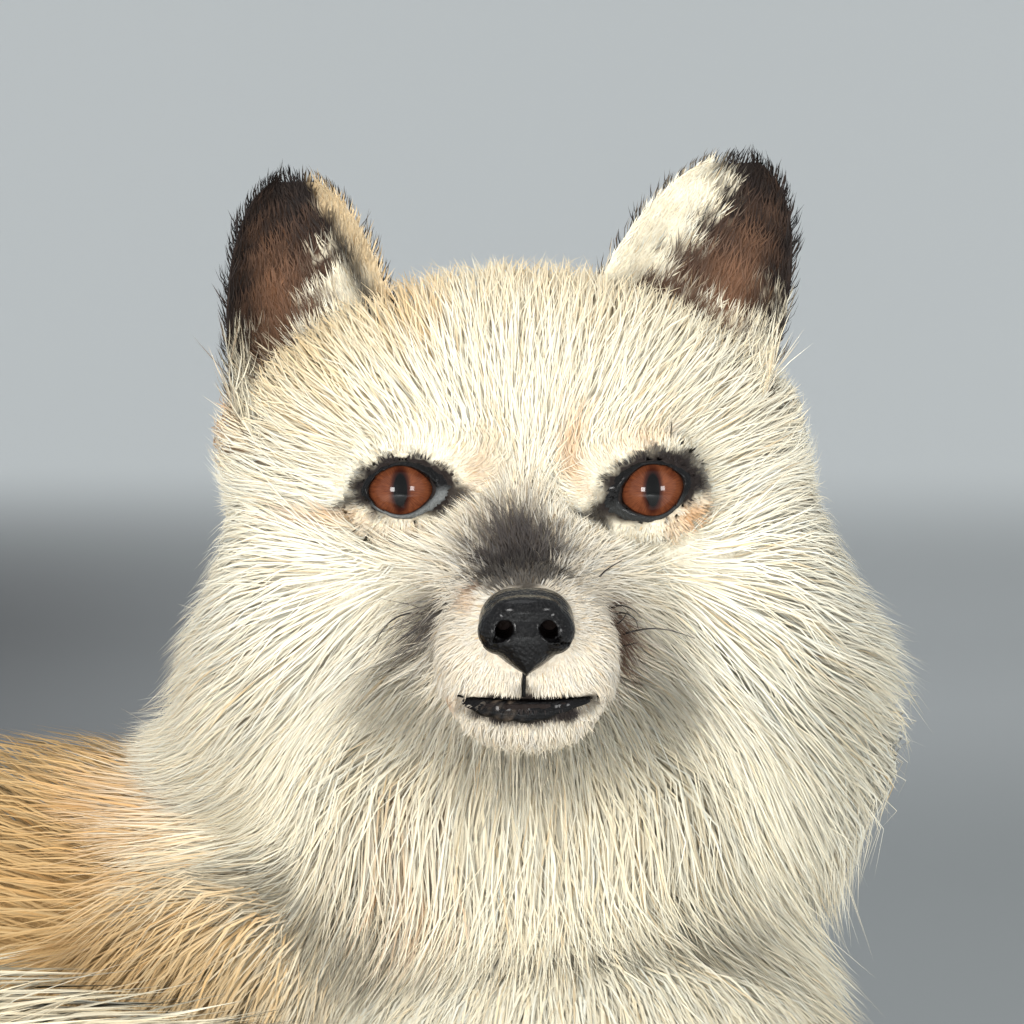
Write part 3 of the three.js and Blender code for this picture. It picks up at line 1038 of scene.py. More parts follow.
@dataclass(frozen=True)
class HornFinish:
    """Dark horn or stiff hair, streaked along its growth.

    Attributes:
        name: The material's name.
        colour: Its linear colour.
        roughness: Of the surface.
    """

    name: str
    colour: Triple
    roughness: float

    def made(self) -> bpy.types.Material:
        """Builds the material."""
        shader = Shader(self.name)
        streak = shader.noise(500.0, 3.0)
        paler = tuple(c * 2.5 + 0.02 for c in self.colour)
        shader.dress(
            Base_Color=shader.mix(streak.ramp(0.4, 0.7), self.colour, paler),
            Roughness=streak * 0.2 + (self.roughness - 0.1),
            Specular_IOR_Level=0.5,
        )
        shader.bump(streak, 0.2, 0.0002)
        return shader.material


# ------------------ markings


class Shade(Enum):
    """The coat's colours, as linear light."""

    CREAM = tuple(linear(240, 231, 206))
    WHITE = tuple(linear(243, 238, 219))
    OAT = tuple(linear(229, 221, 197))
    PEARL = tuple(linear(216, 206, 188))
    STRAW = tuple(linear(228, 205, 163))
    GOLD = tuple(linear(217, 180, 125))
    AMBER = tuple(linear(202, 146, 88))
    TAN = tuple(linear(176, 126, 80))
    BROWN = tuple(linear(84, 63, 50))
    BLACK = tuple(linear(34, 28, 26))
    CHARCOAL = tuple(linear(66, 60, 57))
    SILVER = tuple(linear(212, 200, 172))
    # painted shade: the greyer tone of the bib and ruff on the fox's left side, turned away from the light
    DUSK = tuple(linear(152, 148, 130))
    GREY = tuple(linear(150, 138, 124))


@dataclass(frozen=True)
class Patch:
    """A soft-edged patch of colour on the coat.

    Attributes:
        shade: Its colour.
        centre: Its middle.
        radii: Its half axes.
        strength: How much it covers.
        soft: How much of it fades.
        turn: Radians about the line of sight, from the head's +X towards its +Z.
    """

    shade: Shade
    centre: Triple
    radii: Triple
    strength: float = 1.0
    soft: float = 0.5
    turn: float = 0.0

    def cover(self, p: Array, ragged: Array) -> Array:
        """The patch's share at each point.

        Args:
            p: Rows in the patch's frame.
            ragged: A number for each row that makes its edge uneven.

        Returns:
            Shares from 0 to 1.
        """
        dx, dy, dz = (p[..., k] - self.centre[k] for k in range(3))
        u, w = turned(dx, dz, -self.turn)
        near = np.sqrt((u / self.radii[0]) ** 2 + (dy / self.radii[1]) ** 2 + (w / self.radii[2]) ** 2)
        near = near + min(0.22, 0.5 * self.soft) * ragged
        return self.strength * smooth(1.0 + self.soft * 0.3, 1.0 - self.soft, near)


CHEST_END = -100.0  # patches behind it colour the tail too
FACE_PATCHES = (  # in the head's frame: shade, middle, half axes, strength, softness, turn
    ("STRAW", (0, 40, 42), (52, 50, 22), 0.6, 0.8),
    ("GOLD", (-22, 32, 29), (8, 30, 15), 0.9, 0.7, 0.15),
    ("STRAW", (-38, 34, 24), (22, 28, 19), 1.0, 0.8),
    ("TAN", (-63, 50, 14), (9, 26, 16), 0.8, 0.8),
    ("TAN", (-11, -6, 4), (5.0, 16, 6), 0.45, 0.9, 0.4),
    ("AMBER", (10.6, -6, 6), (3.2, 16, 8), 0.6, 0.9, 0.35),
    ("AMBER", (-42, 6, -6.5), (9, 16, 3.2), 0.8, 0.9, 0.15),
    ("AMBER", (36, 4, -5.0), (8, 14, 3.2), 0.75, 0.9, 0.5),
    ("AMBER", (27, 0, 11), (12, 12, 3.0), 0.35, 0.9, 0.3),
    ("TAN", (-28, 0, -9), (14, 12, 3.0), 0.35, 0.9),
    ("GREY", (-5, -26, -9), (14, 28, 11), 0.5, 0.9),
    ("TAN", (-10, -26, -8), (5, 14, 4), 0.6, 0.9),
    ("TAN", (7, -28, -8), (4, 12, 3.5), 0.45, 0.9),
    ("CHARCOAL", (-2, -34, -12.5), (12.5, 26, 11), 1.0, 0.5),
    ("BLACK", (-2.5, -50, -17.8), (12.5, 20, 5.0), 0.9, 0.4),
    ("TAN", (-11.8, -52, -21.5), (2.4, 14, 4.5), 0.6, 0.8),
    ("BLACK", (0, -60, -28), (7.8, 8, 7.2), 1.0, 0.1),
    ("GREY", (-26, -18, -28), (10, 28, 9), 0.3, 0.9),
    ("CHARCOAL", (-20.5, -24, -26.5), (6.8, 21, 8.0), 0.95, 0.5),
    ("BROWN", (17.8, -30, -29.5), (5.5, 19, 9), 1.0, 0.6),
    ("TAN", (-17.5, -38, -44.5), (5, 16, 3.4), 0.8, 0.8),
    # painted shadow: a tan shade under the chin on the fox's right side
    ("TAN", (-21, -10, -61), (8, 30, 8), 0.7, 0.9),
    ("BLACK", (-0.6, -64, -41.0), (4.0, 12, 2.2), 0.85, 0.8),
    ("BLACK", (1.5, -50, -43.7), (16.5, 22, 1.3), 0.95, 0.4),
    ("BLACK", (-0.5, -60, -46.0), (15.0, 20, 3.3), 1.0, 0.3),
    ("CHARCOAL", (-16.4, 0, -1.5), (5.6, 16, 3.3), 0.9, 0.6),
    ("BLACK", (17.4, 0, -4.6), (7.4, 16, 3.4), 0.95, 0.45, 0.25),
    ("CHARCOAL", (37.6, 6, 2.4), (3.6, 16, 4.8), 0.85, 0.6, -0.2),
    ("BLACK", (-38.6, 6, -2.4), (5.2, 16, 1.8), 0.9, 0.5, 0.5),
    ("BLACK", (-26.4, 2, 0.6), (12.4, 18, 7.6), 1.0, 0.15),
    ("BLACK", (27.2, 2, 0.8), (12.7, 18, 8.0), 1.0, 0.15, 0.30),
)
BODY_PATCHES = (  # in the fox's frame
    ("OAT", (14, -10, 96), (72, 76, 112), 1.0, 0.35),
    ("TAN", (-3, -40, 158), (5, 40, 11), 0.4, 0.9),
    ("TAN", (20, -40, 176), (14, 40, 4), 0.25, 0.9, -0.6),
    # painted shade over the bib and ruff on the fox's left side
    ("DUSK", (66, -20, 148), (50, 90, 82), 0.95, 0.8),
    ("STRAW", (-56, -10, 150), (22, 60, 40), 0.4, 0.9),
    ("AMBER", (-150, 118, 180), (150, 50, 24), 0.6, 0.9),
    ("STRAW", (-190, 60, 30), (190, 130, 40), 0.55, 0.8),
    ("TAN", (-334, -60, 90), (46, 60, 40), 0.4, 0.9),
    ("WHITE", (-8, -136, 60), (56, 60, 60), 0.85, 0.6),
    ("STRAW", (-10, 120, 236), (70, 40, 60), 0.7, 0.8),
    ("GOLD", (-20, 130, 190), (80, 60, 50), 0.8, 0.8),
    ("GOLD", (-92, 66, 150), (41, 100, 58), 1.0, 0.4),
    ("TAN", (-60, 50, 158), (9, 70, 34), 0.4, 0.9, -0.5),
)


class Markings:
    """The fox's colours, the same on its skin and its coat."""

    def __init__(self, anatomy: Anatomy) -> None:
        """Lays out the patches: those of the face in the head's frame, the rest in the fox's."""
        self.anatomy = anatomy
        self.base = {
            Part.MUZZLE: Shade.PEARL,
            Part.BROW: Shade.CREAM,
            Part.SKULL: Shade.CREAM,
            Part.CHEEK: Shade.WHITE,
            Part.RUFF: Shade.WHITE,
            Part.NECK: Shade.OAT,
            Part.TRUNK: Shade.GOLD,
            Part.ARM: Shade.GOLD,
            Part.THIGH: Shade.GOLD,
            Part.LEG: Shade.TAN,
            Part.PAW: Shade.BROWN,
            Part.TAIL: Shade.SILVER,
        }
        self.face = [Patch(Shade[shade], *rest) for shade, *rest in FACE_PATCHES]
        self.rest = [Patch(Shade[shade], *rest) for shade, *rest in BODY_PATCHES]

    def tint(self, p: Array) -> Array:
        """The coat's colour.

        Args:
            p: Skin points in the fox's frame.

        Returns:
            Linear colours.
        """
        ragged = np.sin(p[:, 0] * 0.9 + 1.7 * np.sin(p[:, 2] * 0.31)) * np.sin(p[:, 2] * 0.83 + p[:, 1] * 0.4)
        q = to_head(p)
        shares = self.anatomy.weights(p)
        colour = sum(shares[part][:, None] * np.array(shade.value) for part, shade in self.base.items())
        below = 1.0 - shares[Part.TAIL]
        for patch in self.rest:
            cover = patch.cover(p, ragged)
            if patch.centre[0] > CHEST_END and patch.shade is not Shade.WHITE:
                cover = cover * below
            colour = mixed(colour, np.array(patch.shade.value), cover[:, None])
        for patch in self.face:
            colour = mixed(colour, np.array(patch.shade.value), patch.cover(q, ragged)[:, None])
        return colour


# ------------------ skin


@dataclass
class Pelt:
    """A stretch of skin with all that its hair needs, one row for each vertex.

    Attributes:
        points: Vertices, in the fox's frame.
        faces: Triangles.
        normals: Facing outwards.
        tint: Linear colours.
        heading: The lie of the hair along the skin.
        hair: Length, width, clump and stray.
        reach: How much room the coat has above the skin.
    """

    points: Array
    faces: Array
    normals: Array
    tint: Array
    heading: Array
    hair: Array
    reach: Array

    def part(self, chosen: Array) -> "Pelt":
        """The same pelt with only some of its faces."""
        rows = (self.normals, self.tint, self.heading, self.hair, self.reach)
        return Pelt(self.points, self.faces[chosen], *rows)

    def joined(self, other: "Pelt") -> "Pelt":
        """This pelt and another as one."""
        faces = np.concatenate([self.faces, other.faces + len(self.points)])
        names = ("points", "normals", "tint", "heading", "hair", "reach")
        rows = {name: np.concatenate([getattr(self, name), getattr(other, name)]) for name in names}
        return Pelt(faces=faces, **rows)


def vertex_normals(points: Array, faces: Array) -> Array:
    """Unit normals at a mesh's vertices, weighted by area."""
    a, b, c = (points[faces[:, k]] for k in range(3))
    flat = np.cross(b - a, c - a)
    total = np.zeros_like(points)
    for k in range(3):
        for axis in range(3):
            total[:, axis] += np.bincount(faces[:, k], flat[:, axis], len(points))
    return unit(total)


@dataclass
class EyeSocket:
    """One eye: its opening between the lids and the ball behind it.

    Attributes:
        side: -1 for the fox's right eye and 1 for its left.
        tilt: Radians by which the outer corner stands higher.
        glass: Half width and half height of the glass that shows.
        rim: Half width and half height of the dark rim's outer edge.
        slide: How far the rim's middle lies outwards of the eye's.
    """

    side: int
    tilt: float
    glass: tuple[float, float] = (7.1, 5.4)
    rim: tuple[float, float] = (10.6, 6.5)
    slide: float = -1.4

    @property
    def centre(self) -> Array:
        """The eyeball's centre, in the head's frame."""
        return np.array([self.side * EYE_X, EYE_BACK, 0.0])

    def across(self, q: Array) -> tuple[Array, Array]:
        """Points seen along the line of sight: outwards from the eye's middle, and upwards."""
        dx, dz = (q[..., 0] - self.centre[0]) * self.side, q[..., 2] - self.centre[2]
        return turned(dx, dz, -self.tilt)

    def rim_share(self, q: Array) -> Array:
        """How far each point lies from the rim's middle, 1 at its outer edge."""
        u, w = self.across(q)
        return np.hypot((u - self.slide) / self.rim[0], w / self.rim[1])

    def outline(self, half: tuple[float, float], turns: Array, slide: float = 0.0) -> Array:
        """An almond round the eye.

        Args:
            half: Its half width and half height.
            turns: Angles round it.
            slide: How far it lies outwards.

        Returns:
            Rows of x and z, in the head's frame.
        """
        u = half[0] * np.cos(turns) + slide
        w = half[1] * np.sin(turns) * (1.0 - 0.28 * np.cos(turns) ** 2)
        dx, dz = turned(u, w, self.tilt)
        return columns(self.centre[0] + self.side * dx, self.centre[2] + dz)


@dataclass
class Skin:
    """The one skin under the coat, with its lids, mouth and ears.

    Attributes:
        anatomy: The fox's forms.
        markings: Its colours.
        sockets: Its two eyes.
        fine: The net's cells over the face, and ``coarse`` elsewhere.
        lid: How thick the lids are.
        mouth_height: The mouth line's height, with its middle and half width in the next two.
        bare_reach: The half width of the bare lips.
        lash: Length and width of the hair beside the eyes.
        nose_hair: Its length by the nose, and ``lip_hair`` by the lips.
        probe: Where the face is looked for, from the front to the back, and by which step.
    """

    anatomy: Anatomy
    markings: Markings
    sockets: list[EyeSocket]
    fine: float = 1.2
    coarse: float = 5.0
    lid: float = 1.7
    mouth_height: float = -43.2
    mouth_middle: float = 0.8
    mouth_reach: float = 16.0
    bare_reach: float = 16.5
    lash: tuple[float, float] = (1.5, 0.42)
    nose_hair: float = 2.4
    lip_hair: float = 1.5
    probe: Triple = (-75.0, 30.0, 0.25)

    def mouth(self, x: Array) -> Array:
        """The height of the mouth line at a distance from the middle, in the head's frame."""
        return self.mouth_height - 1.2 * np.cos(np.clip(x / 18.0, -1.0, 1.0) * math.pi / 2.0)

    def detail(self, q: Array, value: Array) -> Array:
        """Cuts the eyes and the mouth into the face and raises the lids.

        Args:
            q: Points in the head's frame.
            value: The plain skin's field there.

        Returns:
            The face's field.
        """
        for socket in self.sockets:
            centre = tuple(socket.centre)
            u, w = socket.across(q)
            lids = ball(centre, (EYE_RADIUS + self.lid,) * 3)(q)
            value = melt(3.0, value, lids)
            almond = ((np.abs(u) / socket.glass[0]) ** 1.8 + (np.abs(w) / socket.glass[1]) ** 1.8) ** (1 / 1.8)
            opening = np.maximum((almond - 1.0) * socket.glass[1], q[..., 1] - EYE_BACK)
            cavity = np.minimum(ball(centre, (EYE_RADIUS + 0.35,) * 3)(q), opening)
            value = np.maximum(value, -cavity)
        along = (q[..., 0] - self.mouth_middle) / self.mouth_reach
        slit = np.abs(q[..., 2] - self.mouth(q[..., 0])) - 0.65 * np.sqrt(np.clip(1.0 - along**2, 0.0, 1.0)) + 0.1
        slit = np.maximum(slit, np.maximum(q[..., 1] + 30.0, -(value + 4.0)))
        return np.maximum(value, -slit)

    def field(self, p: Array) -> Array:
        """The skin's field with its details, at points in the fox's frame."""
        value = self.anatomy.joined(p, 0.0)
        q = to_head(p)
        near = (np.abs(q[..., 0]) < 46.0) & (q[..., 1] < 24.0) & (np.abs(q[..., 2] + 15.0) < 45.0)
        if near.any():
            value[near] = self.detail(q[near], value[near])
        return value

    def face(self, x: Array, z: Array) -> Array:
        """How far back the face lies at places of the head's x and z, seen from the front."""
        y = np.arange(*self.probe)
        q = columns(np.repeat(x[:, None], len(y), 1), np.tile(y, (len(x), 1)), np.repeat(z[:, None], len(y), 1))
        inside = self.field(from_head(q)) < 0.0
        return y[np.argmax(inside, axis=1)]

    def body(self) -> Pelt:
        """Nets the body and gives each vertex its colour and hair."""
        step, wide = self.fine, self.coarse
        axes = (
            lines((-405, -65, wide), (-65, 65, step), (65, 150, wide)),
            lines((-210, -78, wide), (-78, 26, step), (26, 230, wide)),
            lines((-6, 178, wide), (178, 266, step), (266, 320, wide)),
        )
        points, quads = netted(self.field, axes)
        points = settled(self.field, points, step * 0.5)
        faces = triangles(quads)
        normals = vertex_normals(points, faces)
        shares = self.anatomy.weights(points)
        hair = sum(
            share[:, None] * np.array([part.value.length, part.value.width, part.value.clump, part.value.stray])
            for part, share in shares.items()
        )
        heading = self.combed(to_head(points), self.anatomy.flow(points), hair)
        heading = laid(heading, normals)
        reach = -self.anatomy.joined(points, 1.0)
        return Pelt(points, faces, normals, self.markings.tint(points), heading, hair, reach)

    def bare(self, q: Array) -> Array:
        """Where no hair grows: within the lid rims, under the nose and on the lips.

        Args:
            q: Points in the head's frame.

        Returns:
            True for the bare ones.
        """
        found = np.linalg.norm((q - [0.0, -62.0, -29.0]) / [9.6, 10.0, 8.8], axis=1) < 1.0
        for socket in self.sockets:
            found |= (socket.rim_share(q) < 0.97) & (q[:, 1] < 18.0)
        above = q[:, 2] - self.mouth(q[:, 0])
        room = np.sqrt(np.clip(1.0 - (q[:, 0] / self.bare_reach) ** 2, 0.0, 1.0))
        found |= (q[:, 1] < -28.0) & (np.abs(above + 0.1) < 1.2 * room)
        return found | ((np.abs(q[:, 0] + 0.7) < 0.7) & (q[:, 1] < -50.0) & (np.abs(q[:, 2] + 40.5) < 3.5))

    def covers(self, q: Array) -> Array:
        """Whether each point of the head's frame would hide an eye, the nose or the mouth line."""
        found = (np.hypot(q[..., 0] / 9.6, (q[..., 2] + 28.6) / 8.9) < 1.0) & (q[..., 1] < -54.0)
        above = q[..., 2] - self.mouth(q[..., 0])
        found |= (np.abs(q[..., 0]) < 15.0) & (above > -0.8) & (above < 0.3) & (q[..., 1] < -40.0)
        for socket in self.sockets:
            found |= (socket.rim_share(q) < 0.9) & (q[..., 1] < 20.0)
        return found

    def combed(self, q: Array, heading: Array, hair: Array) -> Array:
        """Shortens the hair round the eyes, nose and mouth, and combs it away from the eyes.

        Args:
            q: Points in the head's frame.
            heading: The lie of the hair there.
            hair: Its length, width, clump and stray, changed in place.

        Returns:
            The new lie of the hair.
        """
        ahead = smooth(30.0, 15.0, q[:, 1])
        for socket in self.sockets:
            u, w = socket.across(q)
            near = smooth(2.8, 1.1, socket.rim_share(q)) * ahead
            dx, dz = turned(u, w, socket.tilt)
            away = columns(socket.side * dx, np.full_like(u, 4.0), dz)
            heading = unit(heading * (1.0 - 0.9 * near)[:, None] + turned_from_head(unit(away)) * near[:, None])
            hair[:, :2] += near[:, None] * (np.array(self.lash) - hair[:, :2])
        pad = np.linalg.norm(q - [0.0, -60.0, -28.5], axis=1)
        above = q[:, 2] - self.mouth(q[:, 0])
        lips = smooth(6.0, 2.5, np.abs(above + 1.5)) * smooth(-22.0, -32.0, q[:, 1])
        lips = lips * smooth(24.0, 17.0, np.abs(q[:, 0]))
        hair[:, 0] += smooth(19.0, 11.0, pad) * (self.nose_hair - hair[:, 0])
        hair[:, 0] += lips * (self.lip_hair - hair[:, 0])
        return heading


class EarSide(Enum):
    """Which way an ear's dark outer half lies along its width."""

    RIGHT = -1
    LEFT = 1


@dataclass
class Ear:
    """One ear: a cupped leaf with a folded inner rim.

    Attributes:
        side: The fox's own side.
        root: The leaf's foot, in the head's frame.
        tip: Its tip.
        half_width: At its widest.
        turn: Radians about the vertical.
        slit: How dark the slit beside its inner rim is painted, as shade deep in the slit; it also sets the pale rim
            beside it.
        foot: How far up the pale hair at its foot goes.
        lobe: Where across the ear its dark part starts, and how that shifts with height.
    """

    side: EarSide
    root: Triple
    tip: Triple
    half_width: float
    turn: float
    slit: float = 0.0
    foot: float = 0.24
    lobe: tuple[float, float] = (-0.36, 1.6)
    cup: float = 15.0
    thickness: float = 2.6
    sunk: float = -0.24
    rows: int = 40
    columns: int = 30

    def pelt(self) -> Pelt:
        """Builds the ear as a closed leaf with its colours and hair."""
        base = np.array(self.root, float)
        up = np.array(self.tip, float) - base
        sideways = np.array([math.cos(self.turn), math.sin(self.turn), 0.0])
        forward = unit(np.cross(sideways, up))
        heights = np.linspace(self.sunk, 0.97, self.rows)
        t, u = np.meshgrid(heights, np.linspace(-1.0, 1.0, self.columns), indexing="ij")
        outer = u * self.side.value
        rise = np.maximum(t, 0.0)
        width = (self.half_width - 1.5) * np.sqrt(np.maximum(1.0 - rise**2.6, 0.02)) * (1.0 - 1.6 * (rise - t))
        fold = 4.0 * smooth(-0.45, -0.95, outer) * smooth(0.0, 0.3, t) * smooth(0.9, 0.6, t)
        depth = self.cup * (1.0 - 0.75 * rise) * u * u + fold
        sheets = []
        for sheet in (-1.0, 1.0):
            thick = sheet * self.thickness / 2.0 * (1.0 - 0.5 * u * u)
            place = base + t[..., None] * up + (width * u)[..., None] * sideways
            sheets.append(place + (depth - thick)[..., None] * forward)
        points = from_head(np.concatenate([s.reshape(-1, 3) for s in sheets]))
        faces = self.faces()
        normals = vertex_normals(points, faces)
        centre = points.mean(axis=0)
        if ((points - centre) * normals).sum() < 0.0:
            faces, normals = faces[:, ::-1], -normals
        return self.dressed(points, faces, normals, np.tile(t.ravel(), 2), np.tile(outer.ravel(), 2), up, sideways)

    def faces(self) -> Array:
        """The triangles over both sheets and round their edge."""
        grid = np.arange(self.rows * self.columns).reshape(self.rows, self.columns)
        back, front = grid, grid + grid.size
        quads = [
            columns(back[:-1, :-1], back[:-1, 1:], back[1:, 1:], back[1:, :-1]),
            columns(front[:-1, :-1], front[1:, :-1], front[1:, 1:], front[:-1, 1:]),
        ]
        rim = [grid[0, :], grid[1:, -1], grid[-1, -2::-1], grid[-2:0:-1, 0]]
        loop = np.concatenate(rim)
        following = np.roll(loop, -1)
        quads.append(columns(loop, loop + grid.size, following + grid.size, following))
        return triangles(np.concatenate([q.reshape(-1, 4) for q in quads]))

    def dressed(
        self, points: Array, faces: Array, normals: Array, t: Array, outer: Array, up: Array, sideways: Array
    ) -> Pelt:
        """Gives the leaf its colours and the lie of its hair.

        Args:
            points: Vertices, in the fox's frame.
            faces: Triangles.
            normals: Facing outwards.
            t: Each vertex's height along the ear.
            outer: Its place across the ear, 1 at the outer rim.
            up: The ear's axis.
            sideways: The ear's width.

        Returns:
            The ear's pelt.
        """
        hollow = smooth(-0.1, 0.35, -normals[:, 1])
        ragged = 0.12 * np.sin(t * 40.0 + outer * 9.0) + 0.08 * np.sin(t * 91.0 - outer * 23.0)
        dark, black = np.array(Shade.BROWN.value), np.array(Shade.BLACK.value)
        pale, straw = np.array(Shade.CREAM.value), np.array(Shade.STRAW.value)
        rust, fringe = np.array(linear(128, 94, 72)), np.array(linear(176, 150, 120))
        border = self.lobe[0] + self.lobe[1] * (t - 0.6)
        lobe = smooth(-0.16, 0.14, outer - border + 1.6 * ragged)[:, None]
        inside = mixed(pale, dark, lobe)
        middle = np.exp(-(((outer - 0.35) / 0.25) ** 2) - ((t - 0.48) / 0.2) ** 2)[:, None]
        inside = mixed(inside, rust, 0.75 * middle)
        edge = smooth(0.5, 0.95, np.maximum(outer, t * 1.05) + ragged)[:, None]
        inside = mixed(inside, black, edge * lobe)
        foot = smooth(self.foot + 0.1, self.foot - 0.06, t + ragged)[:, None]
        inside = mixed(inside, pale, foot)
        fold = outer + 1.12 - 0.77 * t
        # painted shade: a black line along the slit beside the inner rim, for the shade deep in it
        slit = np.exp(-((fold / 0.12) ** 2)) * smooth(0.16, 0.24, t) * smooth(0.86, 0.74, t)
        rim = self.slit * smooth(0.04, -0.2, fold + 0.6 * ragged)
        inside = mixed(inside, 0.55 * straw + 0.35 * fringe, rim[:, None])
        inside = mixed(inside, black, (self.slit * slit)[:, None])
        behind = mixed(dark, black, smooth(0.3, 0.7, t)[:, None])
        behind = mixed(behind, fringe, np.maximum(smooth(0.3, 0.1, t), smooth(-0.3, -0.8, outer))[:, None])
        tint = mixed(behind, inside, hollow[:, None])
        tint = mixed(tint, black, (smooth(0.86, 0.95, t) * smooth(-0.9, -0.2, outer))[:, None])
        low = smooth(0.34, 0.1, t) * hollow
        heading = turned_from_head(np.tile(unit(up), (len(points), 1))) * (1.0 - 0.5 * low)[:, None]
        lean = (0.30 * hollow + 1.1 * low) * smooth(1.0, 0.4, outer)
        lean = lean * (1.0 - 2.6 * self.slit * smooth(0.08, -0.08, fold))
        heading += lean[:, None] * sideways * self.side.value
        heading = laid(heading, normals)
        bare = hollow * np.maximum(smooth(-0.3, -0.5, outer) * smooth(0.25, 0.4, t), self.slit * slit)
        length = (5.6 - 2.2 * smooth(0.7, 0.95, t) + 8.0 * low) * (1.0 - 0.3 * bare)
        rows = np.ones_like(t)
        hair = columns(length, 0.36 * rows, 0.15 * rows, 0.26 * rows)
        reach = 2.0 + 2.4 * low - 1.2 * bare
        return Pelt(points, faces, normals, tint, heading, hair, reach)


# ------------------ coat


class LevelGrid:
    """The coat's levels and the lie of the hair, sampled on a grid for quick reading."""

    def __init__(self, anatomy: Anatomy, spacing: float = 5.0) -> None:
        """Samples the anatomy.

        Args:
            anatomy: The fox's forms.
            spacing: Of the grid.
        """
        self.low = np.array([-420.0, -235.0, -12.0])
        high = np.array([165.0, 250.0, 335.0])
        self.spacing = spacing
        axes = [np.arange(a, b + spacing, spacing) for a, b in zip(self.low, high)]
        p = np.stack(np.meshgrid(*axes, indexing="ij"), axis=-1)
        skin, coat = anatomy.joined(p, 0.0), anatomy.joined(p, 1.0)
        gradient = np.stack(np.gradient(coat, spacing), axis=-1)
        self.values = np.concatenate(
            [skin[..., None], coat[..., None], gradient, anatomy.flow(p)], axis=-1
        ).astype(np.float32)

    def read(self, p: Array) -> tuple[Array, Array, Array, Array]:
        """Reads the grid between its nodes.

        Args:
            p: Rows in the fox's frame.

        Returns:
            The skin's and the coat's fields, the unit gradient and the lie of the hair.
        """
        place = np.clip((p - self.low) / self.spacing, 0.0, np.array(self.values.shape[:3]) - 1.001)
        cell = place.astype(int)
        share = place - cell
        found = np.zeros((len(p), self.values.shape[3]))
        for corner in range(8):
            bits = np.array([corner & 1, corner >> 1 & 1, corner >> 2 & 1])
            weight = np.prod(np.where(bits, share, 1.0 - share), axis=1)
            found += weight[:, None] * self.values[tuple((cell + bits).T)]
        return found[:, 0], found[:, 1], unit(found[:, 2:5]), unit(found[:, 5:8])


@dataclass(frozen=True)
class CoatPlan:
    """One piece of the coat.

    Attributes:
        name: The piece's name.
        slot: The record's material slot.
        tufts: How many.
        bends: Rings between a tuft's root and its tip.
        fineness: Scales the tufts' width.
        seen: How much denser it grows where it faces the front.
        free: Whether its hair follows its own skin rather than the body's levels.
        low: The lowest share of the coat's depth that a tuft's tip reaches.
    """

    name: str
    slot: str
    tufts: int
    bends: int = 1
    fineness: float = 1.0
    seen: float = 0.0
    free: bool = False
    low: float = 0.6


